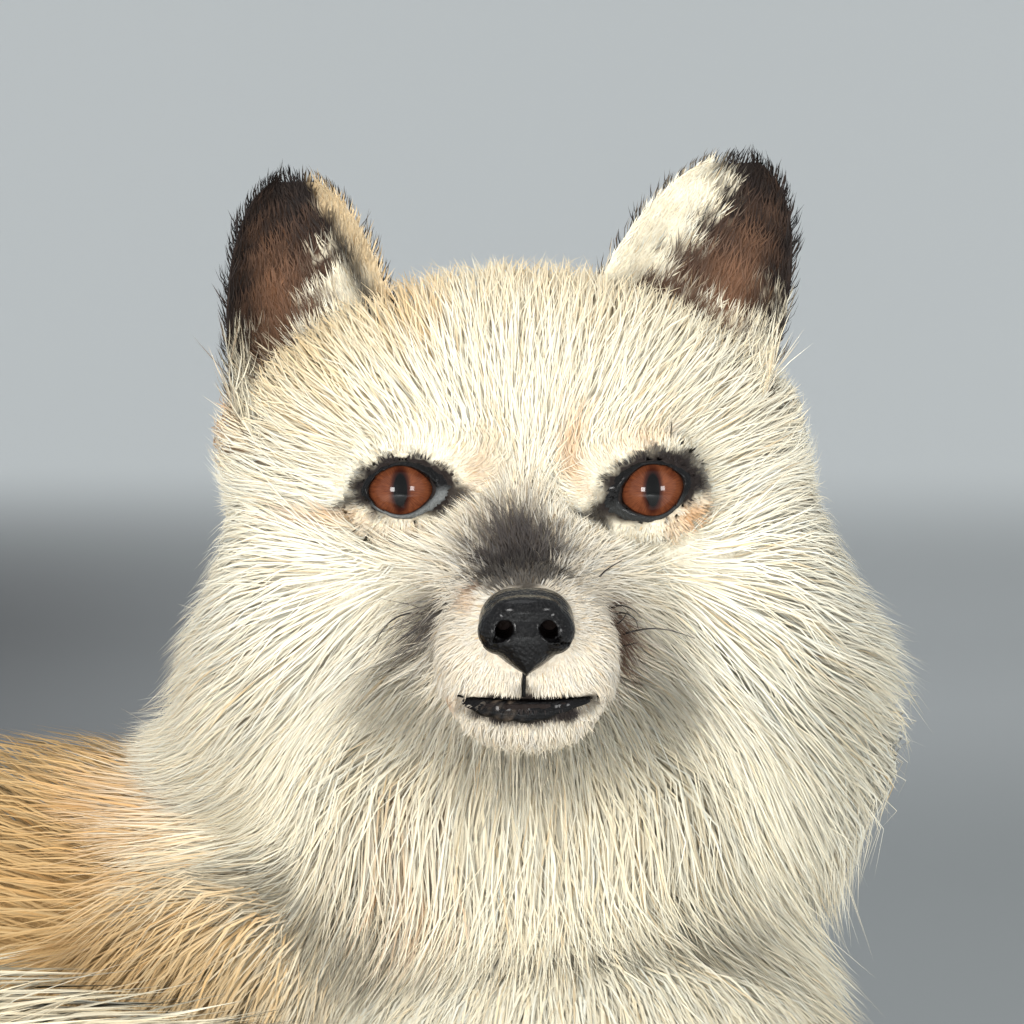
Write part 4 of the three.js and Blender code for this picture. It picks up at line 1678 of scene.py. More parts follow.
@dataclass
class Coat:
    """Grows tufts: thin closed locks that lie along the skin and reach up to the coat's outline.

    Attributes:
        levels: The coat's levels.
        workshop: Makes the pieces.
        finishes: The material of each slot.
        covers: Tells where a lock would hide an eye, the nose or the mouth.
        around: Sides of a lock.
        patch: A lock's size on the map.
        loose: The share of single hairs, and ``hair_width`` their width.
        own_share: How far a lock shades by its own shape rather than as part of the coat.
        stub: What is left, under the skin, of a lock that would hide a feature.
        lock: Tufts for each lock, and ``lock_reach`` the farthest that one is drawn from.
        lit_share: How far the fur in the hollows shades as if it faced the front.
        hollows: Middle and half axes of each hollow, in the head's frame.
        lengths: How a tuft's length spreads, and ``widths`` its width.
        shades: How far tufts differ in brightness and in warmth.
        brown_tufts: The share of brown ones.
        quick_share: Not used.
        profile: The width along a tuft.
    """

    levels: LevelGrid
    workshop: Workshop
    finishes: dict[str, bpy.types.Material]
    covers: Callable[[Array], Array]
    around: int = 3
    patch: float = 0.003
    loose: float = 0.25
    hair_width: float = 0.22
    own_share: float = 0.22
    stub: float = 0.12
    lock: int = 16
    lock_reach: float = 9.0
    lit_share: float = 0.8
    lengths: tuple[float, float] = (0.72, 1.15)
    widths: tuple[float, float] = (0.7, 1.2)
    shades: tuple[float, float] = (0.042, 0.03)
    brown_tufts: float = 0.04
    quick_share: int = 6
    hollows: tuple[tuple[Triple, Triple], ...] = (((0, -5, -48), (66, 64, 48)), ((-57, 10, -94), (36, 90, 40)))
    profile: tuple[float, ...] = (0.65, 1.0, 0.8)
    rng: np.random.Generator = field(default_factory=lambda: np.random.default_rng(SEED))

    def grow(self, plan: CoatPlan, pelt: Pelt) -> bpy.types.Object:
        """Grows one piece of the coat on a stretch of pelt.

        Args:
            plan: The piece.
            pelt: The stretch of skin that it grows on.

        Returns:
            The piece.
        """
        count = plan.tufts // 1
        corners = pelt.points[pelt.faces]
        flat = np.cross(corners[:, 1] - corners[:, 0], corners[:, 2] - corners[:, 0])
        area = np.linalg.norm(flat, axis=1) / 2.0
        facing = np.clip(-flat[:, 1] / np.maximum(2.0 * area, 1e-9), 0.0, 1.0)
        long, wide = (pelt.hair[pelt.faces, k].mean(axis=1) for k in range(2))
        weight = area * (1.0 + plan.seen * facing) / (np.maximum(long, 2.0) * wide) ** 0.8
        face = self.rng.choice(len(pelt.faces), count, p=weight / weight.sum())
        mix = self.rng.random((count, 2))
        mix[mix.sum(axis=1) > 1.0] = 1.0 - mix[mix.sum(axis=1) > 1.0]
        shares = np.column_stack([1.0 - mix.sum(axis=1), mix])

        def at(rows: Array) -> Array:
            return np.einsum("nk,nk...->n...", shares, rows[pelt.faces[face]])

        roots, normals, heading = at(pelt.points), unit(at(pelt.normals)), unit(at(pelt.heading))
        hair, reach = at(pelt.hair), at(pelt.reach)
        single = self.rng.random(count) < self.loose
        length = hair[:, 0] * self.rng.uniform(*self.lengths, count) * np.where(single, 1.12, 1.0)
        width = hair[:, 1] * plan.fineness * self.rng.uniform(*self.widths, count)
        width = np.where(single, np.minimum(self.hair_width, width), width) * 1.0
        path = self.paths(plan, roots, normals, heading, hair, length, reach, single)
        path = self.gathered(path, hair[:, 2] * np.where(single, 0.4, 1.0))
        if plan.name == "coat_face":
            fine = np.concatenate([path[:, 1:], (path[:, 1:] + path[:, :-1]) / 2.0], axis=1)
            crossing = self.covers(to_head(fine)).any(axis=1)
            short = mixed(path[:, :1], path, self.stub) - (normals * (1.0 + width[:, None]))[:, None]
            path[crossing] = short[crossing]
        points, faces, strand, soft = self.spikes(path, normals, width)
        item = self.workshop.piece(plan.name, points, faces, self.finishes[plan.slot], plan.slot)
        item.data.normals_split_custom_set_from_vertices(soft.tolist())
        self.workshop.paint(item, self.shaded(self.tinted(at(pelt.tint)), length, plan.bends))
        self.workshop.mark(item, "strand", strand)
        unwrapped = self.unwrapped(pelt)
        self.map(item, np.einsum("nk,nkc->nc", shares, unwrapped[face]), plan.bends)
        return item

    def paths(
        self,
        plan: CoatPlan,
        roots: Array,
        normals: Array,
        heading: Array,
        hair: Array,
        length: Array,
        reach: Array,
        single: Array,
    ) -> Array:
        """Each tuft's line from its root to its tip.

        Args:
            plan: The piece of the coat.
            roots: Where the tufts grow.
            normals: The skin's normals there.
            heading: The lie of the hair there.
            hair: Length, width, clump and stray.
            length: Each tuft's own length.
            reach: The coat's room above the skin.
            single: Which of them are single hairs.

        Returns:
            Points as tuft, place along it, x y z.
        """
        count, steps = len(roots), plan.bends + 1
        stray = self.rng.normal(0.0, 1.0, count) * hair[:, 3] * np.where(single, 1.7, 1.0)
        top = self.rng.uniform(plan.low, 1.0, count) + np.where(single, self.rng.uniform(0.0, 0.22, count), 0.0)
        top *= np.minimum(1.0, 0.64 * length / np.maximum(reach, 0.5))
        free = np.ones(count) if plan.free else smooth(7.5, 4.0, hair[:, 0])
        lift = np.maximum(reach, 0.22 * length) * top if plan.free else length * self.rng.uniform(0.15, 0.4, count)
        own = unit(heading + stray[:, None] * np.cross(normals, heading))
        line = [roots - normals * 0.4]
        here = roots
        for k in range(1, steps + 1):
            share = k / steps
            rise = top * math.sin(share * math.pi / 2.0)
            _, _, up, along = self.levels.read(here)
            if k == 1:
                along, up = heading, normals
            bend = unit(along + stray[:, None] * np.cross(up, along))
            bend = laid(bend, up)
            here = here + bend * (length / steps)[:, None]
            skin, coat, up, _ = self.levels.read(here)
            off = mixed(skin, coat, rise)
            here = here - up * np.clip(off, -12.0, 12.0)[:, None]
            near = roots + own * (length * share)[:, None] + normals * (lift * math.sin(share * math.pi / 2.0))[:, None]
            spot = mixed(here, near, free[:, None])
            spot[:, 2] = np.maximum(spot[:, 2], 0.5)
            line.append(spot)
        return np.stack(line, axis=1)

    def gathered(self, path: Array, clump: Array) -> Array:
        """Draws the tips of neighbouring tufts together into locks.

        Args:
            path: The tufts' lines.
            clump: How far each is drawn.

        Returns:
            The drawn lines.
        """
        leaders = self.rng.choice(len(path), max(len(path) // self.lock, 1), replace=False)
        tree = kdtree.KDTree(len(leaders))
        for index, leader in enumerate(leaders):
            tree.insert(path[leader, 0], index)
        tree.balance()
        nearest = leaders[[tree.find(root)[1] for root in path[:, 0]]]
        aim = path[nearest] + 0.25 * (path[:, :1] - path[nearest, :1])
        along = np.linspace(0.0, 1.0, path.shape[1]) ** 1.3
        pull = (clump * self.rng.uniform(0.3, 1.0, len(path)))[:, None, None] * along[None, :, None]
        far = np.linalg.norm(path[:, 0] - path[nearest, 0], axis=1) > self.lock_reach
        pull[far] = 0.0
        return mixed(path, aim, pull)

    def spikes(self, path: Array, normals: Array, width: Array) -> tuple[Array, Array, Array, Array]:
        """Closed flattened spikes along lines.

        Args:
            path: The lines.
            normals: The skin's normals at their roots.
            width: Each spike's width.

        Returns:
            Vertices, triangles, each vertex's place round its own spike, and normals that lean
            towards the coat's surface, so that the locks shade as one coat.
        """
        count, places = path.shape[:2]
        along = unit(np.gradient(path, axis=1))
        side = unit(np.cross(along, normals[:, None] + [0.011, 0.007, 0.013]))
        up = np.cross(side, along)
        spin = self.rng.uniform(0.0, 2.0 * math.pi, count)
        name = self.rng.uniform(0.0, 400.0, count)
        shown = self.lit(path[:, 0], normals)
        rings, strand, soft = [], [], []
        for k in range(places - 1):
            half = width * 0.5 * self.profile[min(k, 2)]
            for j in range(self.around):
                angle = spin + 2.0 * math.pi * j / self.around
                off = np.cos(angle)[:, None] * side[:, k] + 0.55 * np.sin(angle)[:, None] * up[:, k]
                rings.append(path[:, k] + off * half[:, None])
                strand.append(columns(np.cos(angle), np.sin(angle), name + 0.8 * k))
                soft.append(unit(self.own_share * off + (1.0 - self.own_share) * unit(shown + up[:, k])))
        points = np.stack([*rings, path[:, -1]], axis=1)
        tip = columns(0.0 * name, 0.0 * name, name + 0.8 * places)
        soft.append(unit(shown + up[:, -1]))
        each = self.spike_faces(places)
        faces = (each[None] + np.arange(count)[:, None, None] * points.shape[1]).reshape(-1, 3)
        strand.append(tip)
        return points.reshape(-1, 3), faces, *(np.stack(rows, axis=1).reshape(-1, 3) for rows in (strand, soft))

    def lit(self, roots: Array, normals: Array) -> Array:
        """Turns the shading of the deep fur in the hollows of the face and chest towards the front.

        Args:
            roots: The hairs' roots.
            normals: The skin's normals there.

        Returns:
            The normals that their shading starts from.
        """
        q = to_head(roots)
        deep = [np.linalg.norm((q - middle) / np.array(reach, float), axis=1) for middle, reach in self.hollows]
        near = smooth(1.0, 0.4, np.min(deep, axis=0))
        front = unit(columns(0.6 * q[:, 0], np.full(len(q), -60.0), 0.0 * q[:, 0]))
        return unit(mixed(normals, turned_from_head(front), self.lit_share * near[:, None]))

    def spike_faces(self, places: int) -> Array:
        """The triangles of one spike with some places along it."""
        n = self.around
        faces = [list(range(n))]
        for k in range(places - 2):
            for j in range(n):
                a, b = k * n + j, k * n + (j + 1) % n
                faces += [[a, b + n, b], [a, a + n, b + n]]
        last, tip = (places - 2) * n, (places - 1) * n
        faces += [[last + (j + 1) % n, last + j, tip] for j in range(n)]
        return np.array(faces)

    def tinted(self, tint: Array) -> Array:
        """Gives each tuft a shade of its own round the skin's colour, and a few a brown one."""
        count = len(tint)
        bright = np.clip(self.rng.normal(1.0, self.shades[0], count), 0.8, 1.12)
        warm = self.rng.normal(0.0, self.shades[1], count)
        shift = np.column_stack([1.0 + warm, np.ones(count), 1.0 - 1.6 * warm])
        brown = (self.rng.random(count) < self.brown_tufts)[:, None] * np.array([0.20, 0.30, 0.42])
        return np.clip(tint * bright[:, None] * shift * (1.0 - brown), 0.0, 0.95)

    def shaded(self, tint: Array, length: Array, bends: int) -> Array:
        """Colours along each tuft: darker and warmer at the root, palest at the tip; the darker root is partly the
        undercoat's own colour, partly painted shade deep in the coat.

        Args:
            tint: Each tuft's colour.
            length: Each tuft's length.
            bends: Rings between root and tip.

        Returns:
            A colour for each vertex.
        """
        # partly painted shade: the longer the hair, the darker its root, as deep in the coat
        deep = smooth(4.0, 45.0, length)[:, None]
        root = tint * (1.0 - (0.06 + 0.94 * deep) * np.array([0.09, 0.12, 0.17]))
        rows = [root] * self.around
        for k in range(bends):
            share = (k + 1) / bends
            rows += [mixed(root, tint, min(0.6 + 0.4 * share, 1.0))] * self.around
        rows.append(np.clip(tint * 1.04, 0.0, 0.96))
        return np.stack(rows, axis=1).reshape(-1, 3)

    def unwrapped(self, pelt: Pelt) -> Array:
        """Unwraps a stretch of pelt by its own shape.

        Args:
            pelt: The stretch.

        Returns:
            Map places as face, corner, u v.
        """
        used, index = np.unique(pelt.faces, return_inverse=True)
        made = bpy.data.meshes.new("unwrap")
        Workshop.fill(made, pelt.points[used] * MM, index.reshape(-1, 3))
        item = linked("unwrap", made)
        bpy.context.view_layer.objects.active = item
        item.select_set(True)
        bpy.ops.object.mode_set(mode="EDIT")
        bpy.ops.mesh.select_all(action="SELECT")
        bpy.ops.uv.smart_project(angle_limit=math.radians(66.0), island_margin=0.004)
        bpy.ops.object.mode_set(mode="OBJECT")
        rows = np.empty(len(pelt.faces) * 6, np.float32)
        made.uv_layers.active.data.foreach_get("uv", rows)
        bpy.data.objects.remove(item)
        bpy.data.meshes.remove(made)
        return rows.reshape(-1, 3, 2).astype(float)

    def map(self, item: bpy.types.Object, places: Array, bends: int) -> None:
        """Lays each tuft's own small patch on the map at its root's place.

        Args:
            item: The piece.
            places: Each tuft's root on the map.
            bends: Rings between root and tip.
        """
        own = []
        for k in range(bends + 1):
            own += [(j / self.around, k / (bends + 1)) for j in range(self.around)]
        own.append((0.5, 1.0))
        offsets = (np.array(own) - 0.5) * self.patch
        spots = (places[:, None] + offsets[None]).reshape(-1, 2)
        index = np.empty(len(item.data.loops), np.int32)
        item.data.loops.foreach_get("vertex_index", index)
        layer = item.data.uv_layers.new(name="OFBake")
        layer.data.foreach_set("uv", np.clip(spots[index], 0.0, 1.0).astype(np.float32).ravel())


# ------------------ eyes, nose and lips


# a painted sheen: the pale grey painted on the lower lids' rims for the light on moist skin
LID_SHEEN = linear(158, 161, 160)
LIP_MOTTLE = linear(120, 104, 88)


@dataclass
class EyeBall:
    """One glass eye.

    Attributes:
        socket: Where it sits.
    """

    socket: EyeSocket
    around: int = 48
    rows: int = 32

    def build(self, workshop: Workshop, finish: bpy.types.Material, name: str, node: str) -> None:
        """Makes the ball, with each point's place seen along the gaze.

        Args:
            workshop: Makes the piece.
            finish: Its material.
            name: The piece's name.
            node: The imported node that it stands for.
        """
        turns = circle(self.around)
        bands = np.linspace(0.0, math.pi, self.rows + 1)[1:-1]
        ring = columns(np.cos(turns), 0.0 * turns, np.sin(turns))
        rows = [ring * math.sin(band) + [0.0, -math.cos(band), 0.0] for band in bands]
        spots = np.concatenate([[[0.0, -1.0, 0.0]], *rows, [[0.0, 1.0, 0.0]]])
        faces: list[tuple[int, ...]] = []
        last = len(spots) - 1
        for k in range(self.around):
            m = (k + 1) % self.around
            faces.append((0, 1 + m, 1 + k))
            faces.append((last, last - self.around + k, last - self.around + m))
            for i in range(len(bands) - 1):
                a, b = 1 + i * self.around, 1 + (i + 1) * self.around
                faces.append((a + k, a + m, b + m, b + k))
        points = from_head(spots * (EYE_RADIUS - 0.05) + self.socket.centre)
        item = workshop.piece(name, points, faces, finish, "glass_eye", [node])
        workshop.mark(item, "gaze", spots)


@dataclass
class LidRim:
    """The bare black rim of the lids round one eye, wider at its corners.

    Attributes:
        socket: The eye.
        skin: The skin that it lies on.
        painted_sheen: How pale the lower lid is.
        around: Places round the rim, and ``across`` it.
        swell: How far its middle stands out.
    """

    socket: EyeSocket
    skin: Skin
    # how strongly the painted sheen shows on the lower lid
    painted_sheen: float = 0.0
    around: int = 72
    across: int = 6
    swell: float = 0.55

    def build(self, workshop: Workshop, finish: bpy.types.Material, name: str) -> None:
        """Makes the rim as a closed band over the skin, from the glass out to the fur.

        Args:
            workshop: Makes the piece.
            finish: Its material.
            name: The piece's name.
        """
        turns = circle(self.around)
        ragged = 1.0 + 0.05 * np.sin(turns * 13.0) + 0.04 * np.sin(turns * 29.0 + 1.0)
        inner = self.socket.outline(tuple(half - 0.1 for half in self.socket.glass), turns)
        outer = self.socket.outline(self.socket.rim, turns, self.socket.slide)
        outer = mixed(inner, outer, ragged[:, None])
        away = inner - self.socket.centre[[0, 2]]
        glass = self.socket.centre[1] - np.sqrt(np.maximum(EYE_RADIUS**2 - (away**2).sum(axis=1), 1.0))
        rings = [columns(inner[:, 0], glass - 0.25, inner[:, 1])]
        for share in np.linspace(0.0, 1.0, self.across)[1:]:
            spot = mixed(inner, outer, share)
            y = self.skin.face(spot[:, 0], spot[:, 1]) - self.swell * math.sqrt(1.0 - share**2) + 0.3 * share
            if share < 0.5:
                y = np.minimum(y, mixed(glass, y, 0.6))
            rings.append(columns(spot[:, 0], y, spot[:, 1]))
        backs = [ring + [0.0, 1.4, 0.0] for ring in rings[::-2]]
        rows = np.stack([*rings, *backs], axis=1)
        points, faces = loft(rows, capped=False)
        item = workshop.piece(name, from_head(points), faces, finish, "lid_rim")
        # painted sheen: the middle of the lower lid's rim is painted pale, for the light on moist skin
        inward = np.exp(-(((np.arange(rows.shape[1]) - 2.5) / 1.6) ** 2))
        low = smooth(-0.1, -0.7, np.sin(turns + 0.35))[:, None] * inward
        tint = mixed(DARK_SKIN, LID_SHEEN, self.painted_sheen * low[..., None])
        workshop.paint(item, tint.reshape(-1, 3))


@dataclass
class Nose:
    """The nose leather: a broad pad that narrows to the lip, with comma-shaped nostrils."""

    step: float = 0.5

    def field(self, q: Array) -> Array:
        """The nose's field, at points in the head's frame."""
        x, y, z = q[..., 0] + 0.2, q[..., 1], q[..., 2] + 29.2
        mirrored = columns(np.abs(x), y, z)
        above, below = np.clip(z / 8.9, 0.0, 1.0), np.clip(-z / 9.4, 0.0, 1.0)
        wide = 10.0 * (1.0 - above**2.6) ** (1 / 2.4) * (1.0 - below**1.5) ** (1 / 1.15)
        thick = 9.6 * (1.0 - above**2.2) ** (1 / 2.2) * (1.0 - 0.25 * below**2)
        near = (np.abs(x) / np.maximum(wide, 0.4)) ** 2.5 + (np.abs(y + 62.0) / np.maximum(thick, 0.4)) ** 2.5
        body = (near ** (1 / 2.5) - 1.0) * np.minimum(np.maximum(wide, 0.4), 6.0) * 0.8
        brow = ball((0.0, -69.6, 4.6), (6.5, 2.0, 2.2))(columns(x, y, z))
        wing = ball((6.6, -67.8, -0.6), (3.2, 3.6, 4.2))(mirrored)
        body = melt(1.8, body, brow, wing)
        hole = limb([(4.4, -72.5, 0.0, 1.8), (5.2, -66.0, 0.4, 2.0), (4.6, -56.0, 3.0, 1.5)])(mirrored)
        comma = limb([(4.8, -71.5, -1.2, 1.2), (7.2, -69.6, -2.4, 0.9), (10.6, -66.0, -2.6, 0.6)])(mirrored)
        groove = limb([(0.0, -71.8, 0.5, 0.25), (0.0, -72.0, -2.5, 0.4), (0.0, -71.0, -9.5, 0.5)])(
            columns(x, y, z)
        )
        value = np.maximum(body, -melt(0.5, hole, comma))
        value = np.maximum(value, -groove)
        return np.max([value, y + 53.0, z - 8.6, -9.7 - z], axis=0)

    def build(self, workshop: Workshop, finish: bpy.types.Material) -> None:
        """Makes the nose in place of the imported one."""
        axes = (
            lines((-12.0, 12.0, self.step)),
            lines((-73.5, -51.0, self.step)),
            lines((-40.0, -18.0, self.step)),
        )
        points, quads = netted(self.field, axes)
        points = settled(self.field, points, self.step * 0.5)
        item = workshop.piece("nose_leather", from_head(points), triangles(quads), finish, "nose_leather", ["nose"])
        # painted shade: the leather inside the nostrils is darkened for the shade deep in them
        away = np.hypot(np.abs(points[:, 0] + 0.2) - 5.0, points[:, 2] + 29.0)
        nostril_shade = smooth(3.6, 2.6, away) * smooth(-69.5, -67.0, points[:, 1])
        workshop.paint(item, DARK_SKIN * (1.0 - 0.9 * nostril_shade)[:, None])


@dataclass
class Lips:
    """The dark lips: the lower lip's band, the upper lip's edge and the line up to the nose.

    Attributes:
        skin: The skin that they lie on.
    """

    skin: Skin
    section: int = 10
    stations: int = 36

    def band(self, x: Array, z: Array, high: Array, deep: Array, lift: float) -> tuple[Array, list[tuple[int, ...]]]:
        """A flattened tube along the face.

        Args:
            x: Its middle line.
            z: Its middle line.
            high: Its half height at each station.
            deep: Its half depth at each station.
            lift: How far its middle stands out of the skin.

        Returns:
            Points in the head's frame, and faces.
        """
        y = self.skin.face(x, z) - lift
        path = columns(x, y, z)
        along = unit(np.gradient(path, axis=0))
        out = np.tile([0.0, -1.0, 0.0], (len(x), 1))
        out = laid(out, along)
        up = np.cross(along, out)
        angles = circle(self.section)
        rings = np.stack(
            [path + up * (high * math.cos(a))[:, None] + out * (deep * math.sin(a))[:, None] for a in angles], axis=1
        )
        return loft(rings)

    def build(self, workshop: Workshop, finish: bpy.types.Material) -> None:
        """Makes the lips.

        Args:
            workshop: Makes the pieces.
            finish: Their material.
        """
        t = np.linspace(0.0, 1.0, self.stations)
        full = np.sqrt(np.clip(1.0 - (2.0 * t - 1.0) ** 2, 0.01, 1.0))
        x = -14.2 + 28.8 * t
        high = full * (2.3 - 1.1 * smooth(0.45, 1.0, t)) * (1.0 + 0.05 * np.sin(t * 43.0))
        lower = self.band(x, self.skin.mouth(x) + 0.2 - high, high, 0.45 * full, -0.1)
        x = -15.4 + 32.0 * t
        upper = self.band(x, self.skin.mouth(x) + 0.25, 0.95 * full**1.3, 0.7 * full, 0.1)
        z = np.linspace(-37.0, -43.4, 12)
        cleft = self.band(-0.6 - 0.2 * np.linspace(0.0, 1.0, 12), z, np.full(12, 0.42), np.full(12, 0.5), 0.3)
        for name, (points, faces) in (("lip_lower", lower), ("lip_upper", upper), ("lip_cleft", cleft)):
            item = workshop.piece(name, from_head(points), faces, finish, "lid_rim")
            mottled = smooth(0.1, 0.9, np.sin(points[:, 0] * 3.1) * np.sin(points[:, 2] * 3.7 + points[:, 0]))
            mottled *= 0.35 * smooth(5.0, 1.0, np.abs(points[:, 0] + 5.0)) * (name == "lip_lower")
            tint = mixed(DARK_SKIN, LIP_MOTTLE, mottled[:, None])
            workshop.paint(item, tint)


# ------------------ whiskers and claws


class StrandTree(Nodes):
    """A Geometry Nodes tree that turns open lines into solid strands tapering to their ends."""

    def __init__(self) -> None:
        """Builds the tree with its named inputs."""
        self.tree = bpy.data.node_groups.new("tapered strands", "GeometryNodeTree")
        face = self.tree.interface
        face.new_socket("Geometry", in_out="INPUT", socket_type="NodeSocketGeometry")
        self.sockets = {
            name: face.new_socket(name, in_out="INPUT", socket_type=kind).identifier
            for name, kind in (
                ("Thickness", "NodeSocketFloat"),
                ("Tip", "NodeSocketFloat"),
                ("Sides", "NodeSocketInt"),
                ("Finish", "NodeSocketMaterial"),
            )
        }
        face.new_socket("Geometry", in_out="OUTPUT", socket_type="NodeSocketGeometry")
        given = self.node("NodeGroupInput").outputs
        along = Val(self, self.node("GeometryNodeSplineParameter").outputs["Factor"])
        half = (1.0 - along * (1.0 - Val(self, given["Tip"]))) * Val(self, given["Thickness"])
        curves = self.node("GeometryNodeMeshToCurve", None, {"Mesh": given["Geometry"]}).outputs[0]
        curves = self.node("GeometryNodeSetCurveRadius", None, {"Curve": curves, "Radius": half}).outputs[0]
        ring = self.node("GeometryNodeCurvePrimitiveCircle", None, {"Resolution": given["Sides"], "Radius": 0.5})
        joined = {"Curve": curves, "Profile Curve": ring.outputs[0], "Fill Caps": True}
        swept = self.node("GeometryNodeCurveToMesh", None, joined)
        if "Scale" in swept.inputs:
            self.tree.links.new(half.socket, swept.inputs["Scale"])
        solid = self.node("GeometryNodeRealizeInstances", None, {0: swept.outputs[0]}).outputs[0]
        dressed = {"Geometry": solid, "Material": given["Finish"]}
        done = self.node("GeometryNodeSetMaterial", None, dressed).outputs[0]
        self.node("NodeGroupOutput", None, {0: done})

    def grown(
        self, name: str, paths: Sequence[Array], thickness: float, tip: float, sides: int, finish: bpy.types.Material
    ) -> bpy.types.Object:
        """Grows solid strands along lines.

        Args:
            name: The piece's name.
            paths: Each strand's line, in metres, in the model's frame.
            thickness: At the root, in metres.
            tip: The share of it left at the end.
            sides: Of each strand.
            finish: Its material.

        Returns:
            The strands as one plain mesh object.
        """
        made = bpy.data.meshes.new(name + "_lines")
        edges, start = [], 0
        for path in paths:
            edges += [(start + k, start + k + 1) for k in range(len(path) - 1)]
            start += len(path)
        made.from_pydata(np.concatenate(paths).tolist(), edges, [])
        item = linked(name, made)
        modifier = item.modifiers.new("strands", "NODES")
        modifier.node_group = self.tree
        given = {"Thickness": thickness, "Tip": tip, "Sides": sides, "Finish": finish}
        for key, value in given.items():
            modifier[self.sockets[key]] = value
        solid = bpy.data.meshes.new_from_object(item.evaluated_get(bpy.context.evaluated_depsgraph_get()))
        item.modifiers.clear()
        item.data = solid
        bpy.data.meshes.remove(made)
        outward(solid)
        solid.shade_smooth()
        return item


@dataclass
class Whiskers:
    """The few stiff dark whiskers, as rows of x, z and how far each stands out of the skin.

    Attributes:
        skin: The skin that they grow from.
    """

    skin: Skin
    thickness: float = 0.56
    lines: tuple[tuple[Triple, ...], ...] = (
        ((18.8, -32.0, 0.0), (22.5, -30.4, 4.0), (27.0, -29.6, 7.0), (31.5, -30.2, 9.0), (36.0, -31.9, 10.0)),
        ((17.6, -25.6, 0.0), (19.8, -24.6, 4.0), (22.6, -25.4, 7.0), (24.6, -27.6, 8.0)),
        ((18.0, -27.0, 0.0), (20.6, -26.2, 4.0), (23.2, -27.4, 6.0), (23.8, -29.6, 7.0)),
        ((18.2, -34.2, 0.0), (20.8, -33.6, 4.0), (23.8, -32.8, 6.0)),
        ((17.9, -29.8, 0.0), (20.2, -28.2, 4.0), (21.6, -26.0, 6.0)),
        ((-21.6, -27.4, 0.0), (-25.4, -26.6, 4.0), (-29.0, -27.8, 7.0), (-31.6, -30.4, 9.0), (-33.0, -33.6, 10.0)),
        ((-22.2, -31.0, 0.0), (-24.8, -29.4, 4.0), (-27.4, -28.4, 6.0)),
        ((-22.8, -34.6, 0.0), (-26.2, -37.6, 4.0), (-29.8, -40.6, 6.0), (-33.4, -43.4, 7.0)),
        ((-20.6, -37.0, 0.0), (-23.4, -40.2, 4.0), (-25.8, -42.6, 5.0)),
        ((14.6, -20.0, 0.0), (16.6, -17.4, 4.0), (20.4, -15.0, 7.0)),
    )

    def build(self, workshop: Workshop, strands: StrandTree, finish: bpy.types.Material) -> None:
        """Grows the whiskers on the muzzle's sides.

        Args:
            workshop: Reports the piece.
            strands: Makes solid strands.
            finish: Their material.
        """
        paths = []
        for line in self.lines:
            rows = np.array(line)
            fine = np.linspace(0.0, len(rows) - 1.0, 14)
            curve = np.stack([np.interp(fine, np.arange(len(rows)), rows[:, k]) for k in range(3)], axis=-1)
            for _ in range(3):
                curve[1:-1] = (curve[:-2] + 2.0 * curve[1:-1] + curve[2:]) / 4.0
            root = float(self.skin.face(rows[:1, 0], rows[:1, 1])[0])
            away = np.abs(curve[:, 0] - rows[0, 0]) * 0.2
            y = root + 1.0 + away - curve[:, 2] * 1.2
            paths.append(workshop.placement.metres(from_head(columns(curve[:, 0], y, curve[:, 1]))))
        workshop.adopt(strands.grown("whiskers", paths, self.thickness * MM, 0.25, 6, finish))


@dataclass
class Claws:
    """The claws, one on each toe.

    Attributes:
        paws: The paws that they stand on.
    """

    paws: Sequence[Paw]
    reach: float = 11.0
    thickness: float = 3.0

    def build(self, workshop: Workshop, strands: StrandTree, finish: bpy.types.Material) -> None:
        """Grows the claws.

        Args:
            workshop: Reports the piece.
            strands: Makes solid strands.
            finish: Their material.
        """
        paths = []
        for paw in self.paws:
            for index in range(paw.toes):
                across = index - (paw.toes - 1) / 2
                forward = 57.5 - 2.6 * across * across
                t = np.linspace(0.0, 1.0, 9)
                rows = [
                    paw.place(forward + self.reach * math.sin(k * 1.35), across * (11.0 + 0.8 * k), 11.5 - 8.6 * k**1.7)
                    for k in t
                ]
                paths.append(workshop.placement.metres(np.array(rows)))
        workshop.adopt(strands.grown("claws", paths, self.thickness * MM, 0.2, 8, finish))


# ------------------ studio


@dataclass(frozen=True)
class StageFinish:
    """The studio's pale paper, softly darker on the floor behind the fox, with a painted shade darkest on the left far
    behind it.
    """

    name: str = "paper"
    pale: Triple = (0.78, 0.80, 0.795)
    middle: Triple = (0.345, 0.36, 0.36)
    far: Triple = (0.51, 0.525, 0.525)
    deep: Triple = (0.17, 0.17, 0.172)

    def made(self) -> bpy.types.Material:
        """Builds the material."""
        shader = Shader(self.name)
        split = shader.node("ShaderNodeSeparateXYZ", None, {0: shader.place()})
        x, y, z = (Val(shader, split.outputs[axis]) for axis in "XYZ")
        low = 1.0 - z.ramp(0.0, 0.14)
        floor = shader.mix(y.ramp(0.35, 0.85) * low, self.pale, self.middle)
        floor = shader.mix(y.ramp(1.4, 2.8) * low, floor, self.far)
        # painted shade: the floor far behind the fox is darkened towards the left, as if in shadow
        left = (1.0 - x.ramp(-0.55, 0.35)) * y.ramp(1.2, 2.2) * low
        shader.dress(Base_Color=shader.mix(left, floor, self.deep), Roughness=0.9, Specular_IOR_Level=0.1)
        return shader.material


